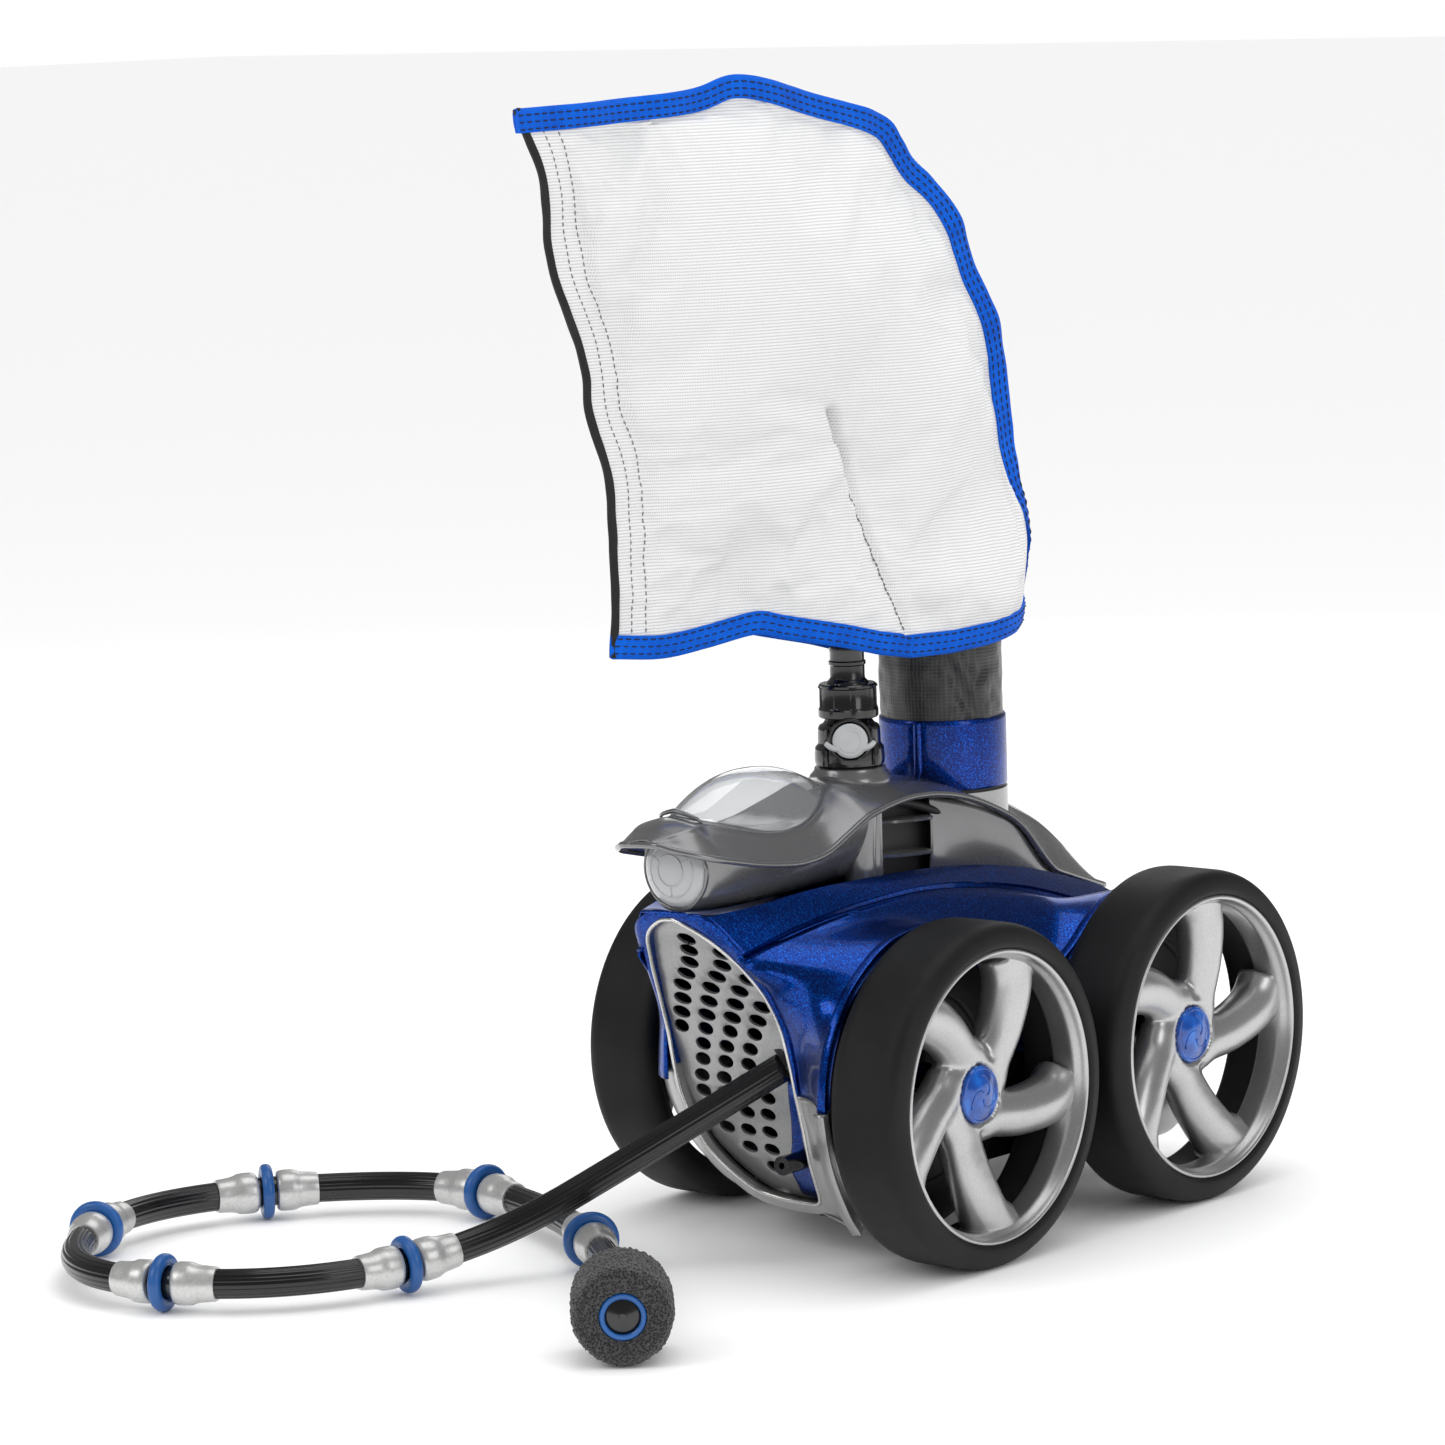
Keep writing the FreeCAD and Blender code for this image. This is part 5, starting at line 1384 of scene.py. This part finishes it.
def bag_seams():
    """Stitch rows that lie on the bag's own surface."""
    from mathutils.bvhtree import BVHTree
    tree = BVHTree.FromObject(bag, bpy.context.evaluated_depsgraph_get())
    seams = Shape()

    def stitches(line, side, *sizes):
        places, outs = [], []
        for s, z in line:
            hit, normal, _, _ = tree.ray_cast(bag_point(s, z, side * 110) * MM, -BAG_OUT * side)
            places.append(hit / MM if hit else bag_point(s, z, side * 2))
            normal = normal if hit else BAG_OUT * side
            outs.append(normal * (1 if normal.dot(BAG_OUT * side) > 0 else -1))
        stitch_row(seams, places, outs, *sizes)

    front = flat_line(FRONT, 150)[6:-6]
    inward = normals_of(front)
    for side in (1, -1):
        for depth in (12.5, 21.5):
            line = [(s + ns * depth, z + nz * depth) for (s, z), (ns, nz) in zip(front, inward)]
            stitches(line, side, 2.6, 1.6, 0.38)
        stitches(flat_line(SEAM, 70), side, 2.2, 1.0, 0.5)
    seams.build("bag_seam_stitches", "thread_grey", "bag", sharp=0)


bag_seams()


def build_neck():
    """The black sleeve between the collar and the hem, with long slanting folds."""
    rows = []
    for j in range(61):
        h = j / 60
        row = []
        for i in range(180):
            t = TAU * i / 180
            slant = t * 36 + (1 - h) * 34
            uneven = noise.noise(Vector((math.cos(t), math.sin(t), 0.4)) * 1.6)
            fold = 1.5 * math.sin(slant / 11.0) * math.sin(math.pi * min(1, h * 1.15 + 0.08)) * uneven
            small = 0.7 * noise.noise(Vector((37 * math.cos(t) / 7, 37 * math.sin(t) / 7, h * 7)))
            deep = -2.2 * math.exp(-((math.degrees(t) - 318 + (h - 0.5) * 46) / 9) ** 2)
            deep += 1.4 * math.exp(-((math.degrees(t) - 330 + (h - 0.5) * 50) / 8) ** 2)
            r = 36.4 + (fold + small + deep) * math.sin(math.pi * min(1, 0.12 + h)) ** 0.5
            row.append((r * math.cos(t), TUBE_Y + r * math.sin(t), lerp(290, 352, h)))
        rows.append(row)
    neck = Shape().net(rows, wrap=True).build("bag_neck_sleeve", "neck", "bag", ["bag_neck"], "sleeve_black", sharp=0)
    thicken(neck, 0.6)


def build_collar():
    at, axis = (0, TUBE_Y, 0), (0, 0, 1)
    profile = [(36.6, 250), (37.7, 250.2), (38.0, 251), (38.0, 270), (38.0, 289), (37.8, 291), (37.2, 291.8),
               (36.4, 291.8), (36.0, 291), (36.0, 255)]
    Shape().lathe(profile, at, axis, 120, closed=True).build(
        "collar_skin", "collar_blue", "bag", ["bag_collar"], "shell_blue", sharp=35)
    rib = Shape()
    turn = math.radians(-75.5)
    c, s = math.cos(turn), math.sin(turn)
    line = [(38.2 * c, TUBE_Y + 38.2 * s, z) for z in (291, 282, 272, 265)]
    line += [(8.6, 29.3, 259), (5, 29.0, 256), (-2, 28.9, 254.4), (-11, 29.6, 253.6)]
    rib.sweep(smooth_line(line, 40), lambda q, t: lerp(2.6, 1.2, max(0, q - 0.6) * 2.5), count=14,
              squash=((c, s, 0), 0.62))
    rib.build("collar_rib", "collar_blue", "bag", sharp=0)


BUTTON_TURN, BUTTON_Z = math.radians(-50), 289
BUTTON_REACH, WELL_REACH, WELL_R = 20.2, 15.6, 11.4   # the button's place and the well's floor, out from the axis
# Profiles of (radius, Z) about the connector's axis.
BASE_PROFILE = [(12, 262), (24.2, 262), (24.4, 264.5), (23.6, 267.0), (21.5, 269.2), (20.8, 271.4), (19.8, 271.9),
                (12, 271.9)]
BODY_PROFILE = [(9, 272.3), (18.6, 272.3), (20.2, 273.4), (20.6, 275.5), (20.5, 279.5), (20.2, 283.0), (19.2, 284.2),
                (18.5, 285.6), (18.4, 291), (18.2, 294.4), (17.2, 296.2), (15.2, 297.2), (14.1, 298.8), (13.2, 299.8),
                (12.8, 301), (12.6, 306)]
NIPPLE_PROFILE = [(12.6, 318), (12.4, 321), (11.4, 322.3), (10.6, 323), (10.2, 324.4), (10.2, 331), (10.9, 331.8),
                  (10.9, 333.4), (10.1, 334.2), (10.1, 339), (10.5, 340.5), (9.8, 342.8), (7.4, 343), (7.2, 338)]
NUT_PROFILE = [(12.4, 300.6), (16.8, 300.6), (17.6, 301.4), (17.6, 305.4), (16.6, 306.4), (16.2, 307.2), (16.2, 317.8),
               (17.0, 318.6), (17.0, 319.8), (16.2, 320.6), (12.4, 320.6)]


def build_connector():
    at, up = Vector((0, -23, 0)), Vector((0, 0, 1))
    Shape().lathe(BASE_PROFILE, at, up, 80).build(
        "connector_base_ring", "head_silver", "chassis", ["connector_base"], "head_silver", sharp=40)
    body = Shape()
    fine = []
    for (r1, z1), (r2, z2) in zip(BODY_PROFILE, BODY_PROFILE[1:]):
        steps = max(1, math.ceil(abs(z2 - z1) / 1.0))
        fine += [(lerp(r1, r2, k / steps), lerp(z1, z2, k / steps)) for k in range(steps)]
    body.lathe(fine + BODY_PROFILE[-1:], at, up, 144)
    out = Vector((math.cos(BUTTON_TURN), math.sin(BUTTON_TURN), 0))
    for i, v in enumerate(body.verts):                # the well that the button is pressed into
        offset = Vector(v) - at - up * BUTTON_Z
        reach = offset.dot(out)
        if reach > WELL_REACH and (offset - out * reach).length < WELL_R:
            body.verts[i] = tuple(Vector(v) - out * (reach - WELL_REACH))
    body.lathe(NIPPLE_PROFILE, at, up, 72)
    for k in range(4):
        t = math.radians(-50 + 90 * k + 45)
        c, s = math.cos(t), math.sin(t)
        line = [(at.x + r * c, at.y + r * s, z)
                for r, z in ((20.6, 274), (20.8, 279), (20.3, 283.5), (18.4, 287.5), (18.4, 295))]
        body.sweep(smooth_line(line, 16), lambda q, a: lerp(2.6, 1.4, q), count=10)
    body.build("connector_shell", "black", "connector", ["connector_body"], "plastic_black", sharp=35)
    rows = []
    for r, z in NUT_PROFILE:
        row = []
        for k in range(144):                          # eight raised grips round it
            q = r + (0.75 if 306 < z < 319 and k % 18 < 4 else 0.0)
            row.append((at.x + q * math.cos(TAU * k / 144), at.y + q * math.sin(TAU * k / 144), z))
        rows.append(row)
    Shape().net(rows, wrap=True).build(
        "connector_nut_grip", "black", "connector", ["connector_nut"], "plastic_black", sharp=30)
    # The release button: a domed disc with two ears and a plain raised arc.
    side = Vector((-out.y, out.x, 0))
    centre = at + up * BUTTON_Z + out * BUTTON_REACH
    button = Shape().net([circle(centre + out * h, side, up, r, 56) for r, h in (
        (9.6, -1.6), (10.2, -0.4), (10.2, 1.1), (9.6, 1.9), (8.4, 2.3), (5, 2.6), (0.0, 2.7))], wrap=True)
    for way in (1, -1):
        ear = [centre + side * way * along + up * height + out * depth
               for along, height, depth in ((7, -4.6, 0.4), (11, -3.6, 0.2), (14.2, -1.2, -1.4))]
        button.sweep(smooth_line(ear, 14), lambda q, a: lerp(2.1, 1.5, q), count=14)
    first, sweep = math.radians(200), math.radians(230)
    button.sweep(circle(centre + out * 2.35, side, up, 6.4, 31, first, sweep * 31 / 30), 0.45, count=8)
    button.build("release_button_disc", "release", "button", ["release_button"], "release_grey", sharp=35)
    Shape().sweep(circle(centre - out * 1.6, side, up, 11.9, 56), 1.2, count=10, closed=True).build(
        "connector_button_well", "black", "connector", sharp=0)


build_neck()
build_collar()
build_connector()


# ================================================================ small parts that keep their CAD shape
# Their materials; the rest are black plastic.
KEPT = {"suction_tube": "shell_silver", "turbine_bushes": "brass", "drive_chain_right": "dull_black",
        "drive_chain_left": "dull_black", "axle_bearings": "steel", "shell_screws": "steel", "hose_clip": "steel",
        "float_block": "foam", "tube_seal": "seal"}
for name in frame["nodes"]:
    obj = bpy.data.objects.get(name)
    if obj and obj.type == "MESH":
        for slot in obj.material_slots:
            slot.material = M[KEPT.get(name, "black")]


# ================================================================ floor, light, finish
# Area lights: name, place, size and power.
LIGHTS = [("key", (-1.0, -2.2, 1.9), (1.2, 1.2), 13), ("side", (2.4, -0.4, 1.2), (0.9, 1.6), 10),
          ("top", (0.2, 0.2, 2.4), (1.6, 1.6), 13), ("back", (-1.2, 2.0, 1.4), (1.4, 1.2), 7)]


def stage_and_lights():
    mesh = bpy.data.meshes.new("floor")
    mesh.from_pydata([(-30, -30, 0), (30, -30, 0), (30, 30, 0), (-30, 30, 0)], [], [(0, 1, 2, 3)])
    mesh.materials.append(Finish("floor_pale", (0.97, 0.97, 0.97), rough=0.75, specular=0.1).material)
    placed("floor", mesh)
    world = bpy.data.worlds.new("studio")
    bpy.context.scene.world = world
    world.use_nodes = True
    tree = world.node_tree
    background = tree.nodes["Background"].inputs
    background["Color"].default_value = (1, 1, 1, 1)
    rays = tree.nodes.new("ShaderNodeLightPath")
    glossy = tree.nodes.new("ShaderNodeMath")         # dark surroundings in reflections, as in a studio
    glossy.operation = "MULTIPLY_ADD"
    glossy.inputs[1].default_value, glossy.inputs[2].default_value = -0.8, 1.0
    tree.links.new(rays.outputs["Is Glossy Ray"], glossy.inputs[0])
    tree.links.new(glossy.outputs[0], background["Strength"])
    for name, place, size, power in LIGHTS:
        data = bpy.data.lights.new(name, "AREA")
        data.shape, data.size, data.size_y, data.energy = "RECTANGLE", *size, power
        light = placed(name, data)
        light.location = place
        light.rotation_mode = "QUATERNION"
        light.rotation_quaternion = (Vector((0, 0, 0.2)) - Vector(place)).to_track_quat("-Z", "Y")


stage_and_lights()
bpy.context.scene.view_settings.view_transform = "Standard"
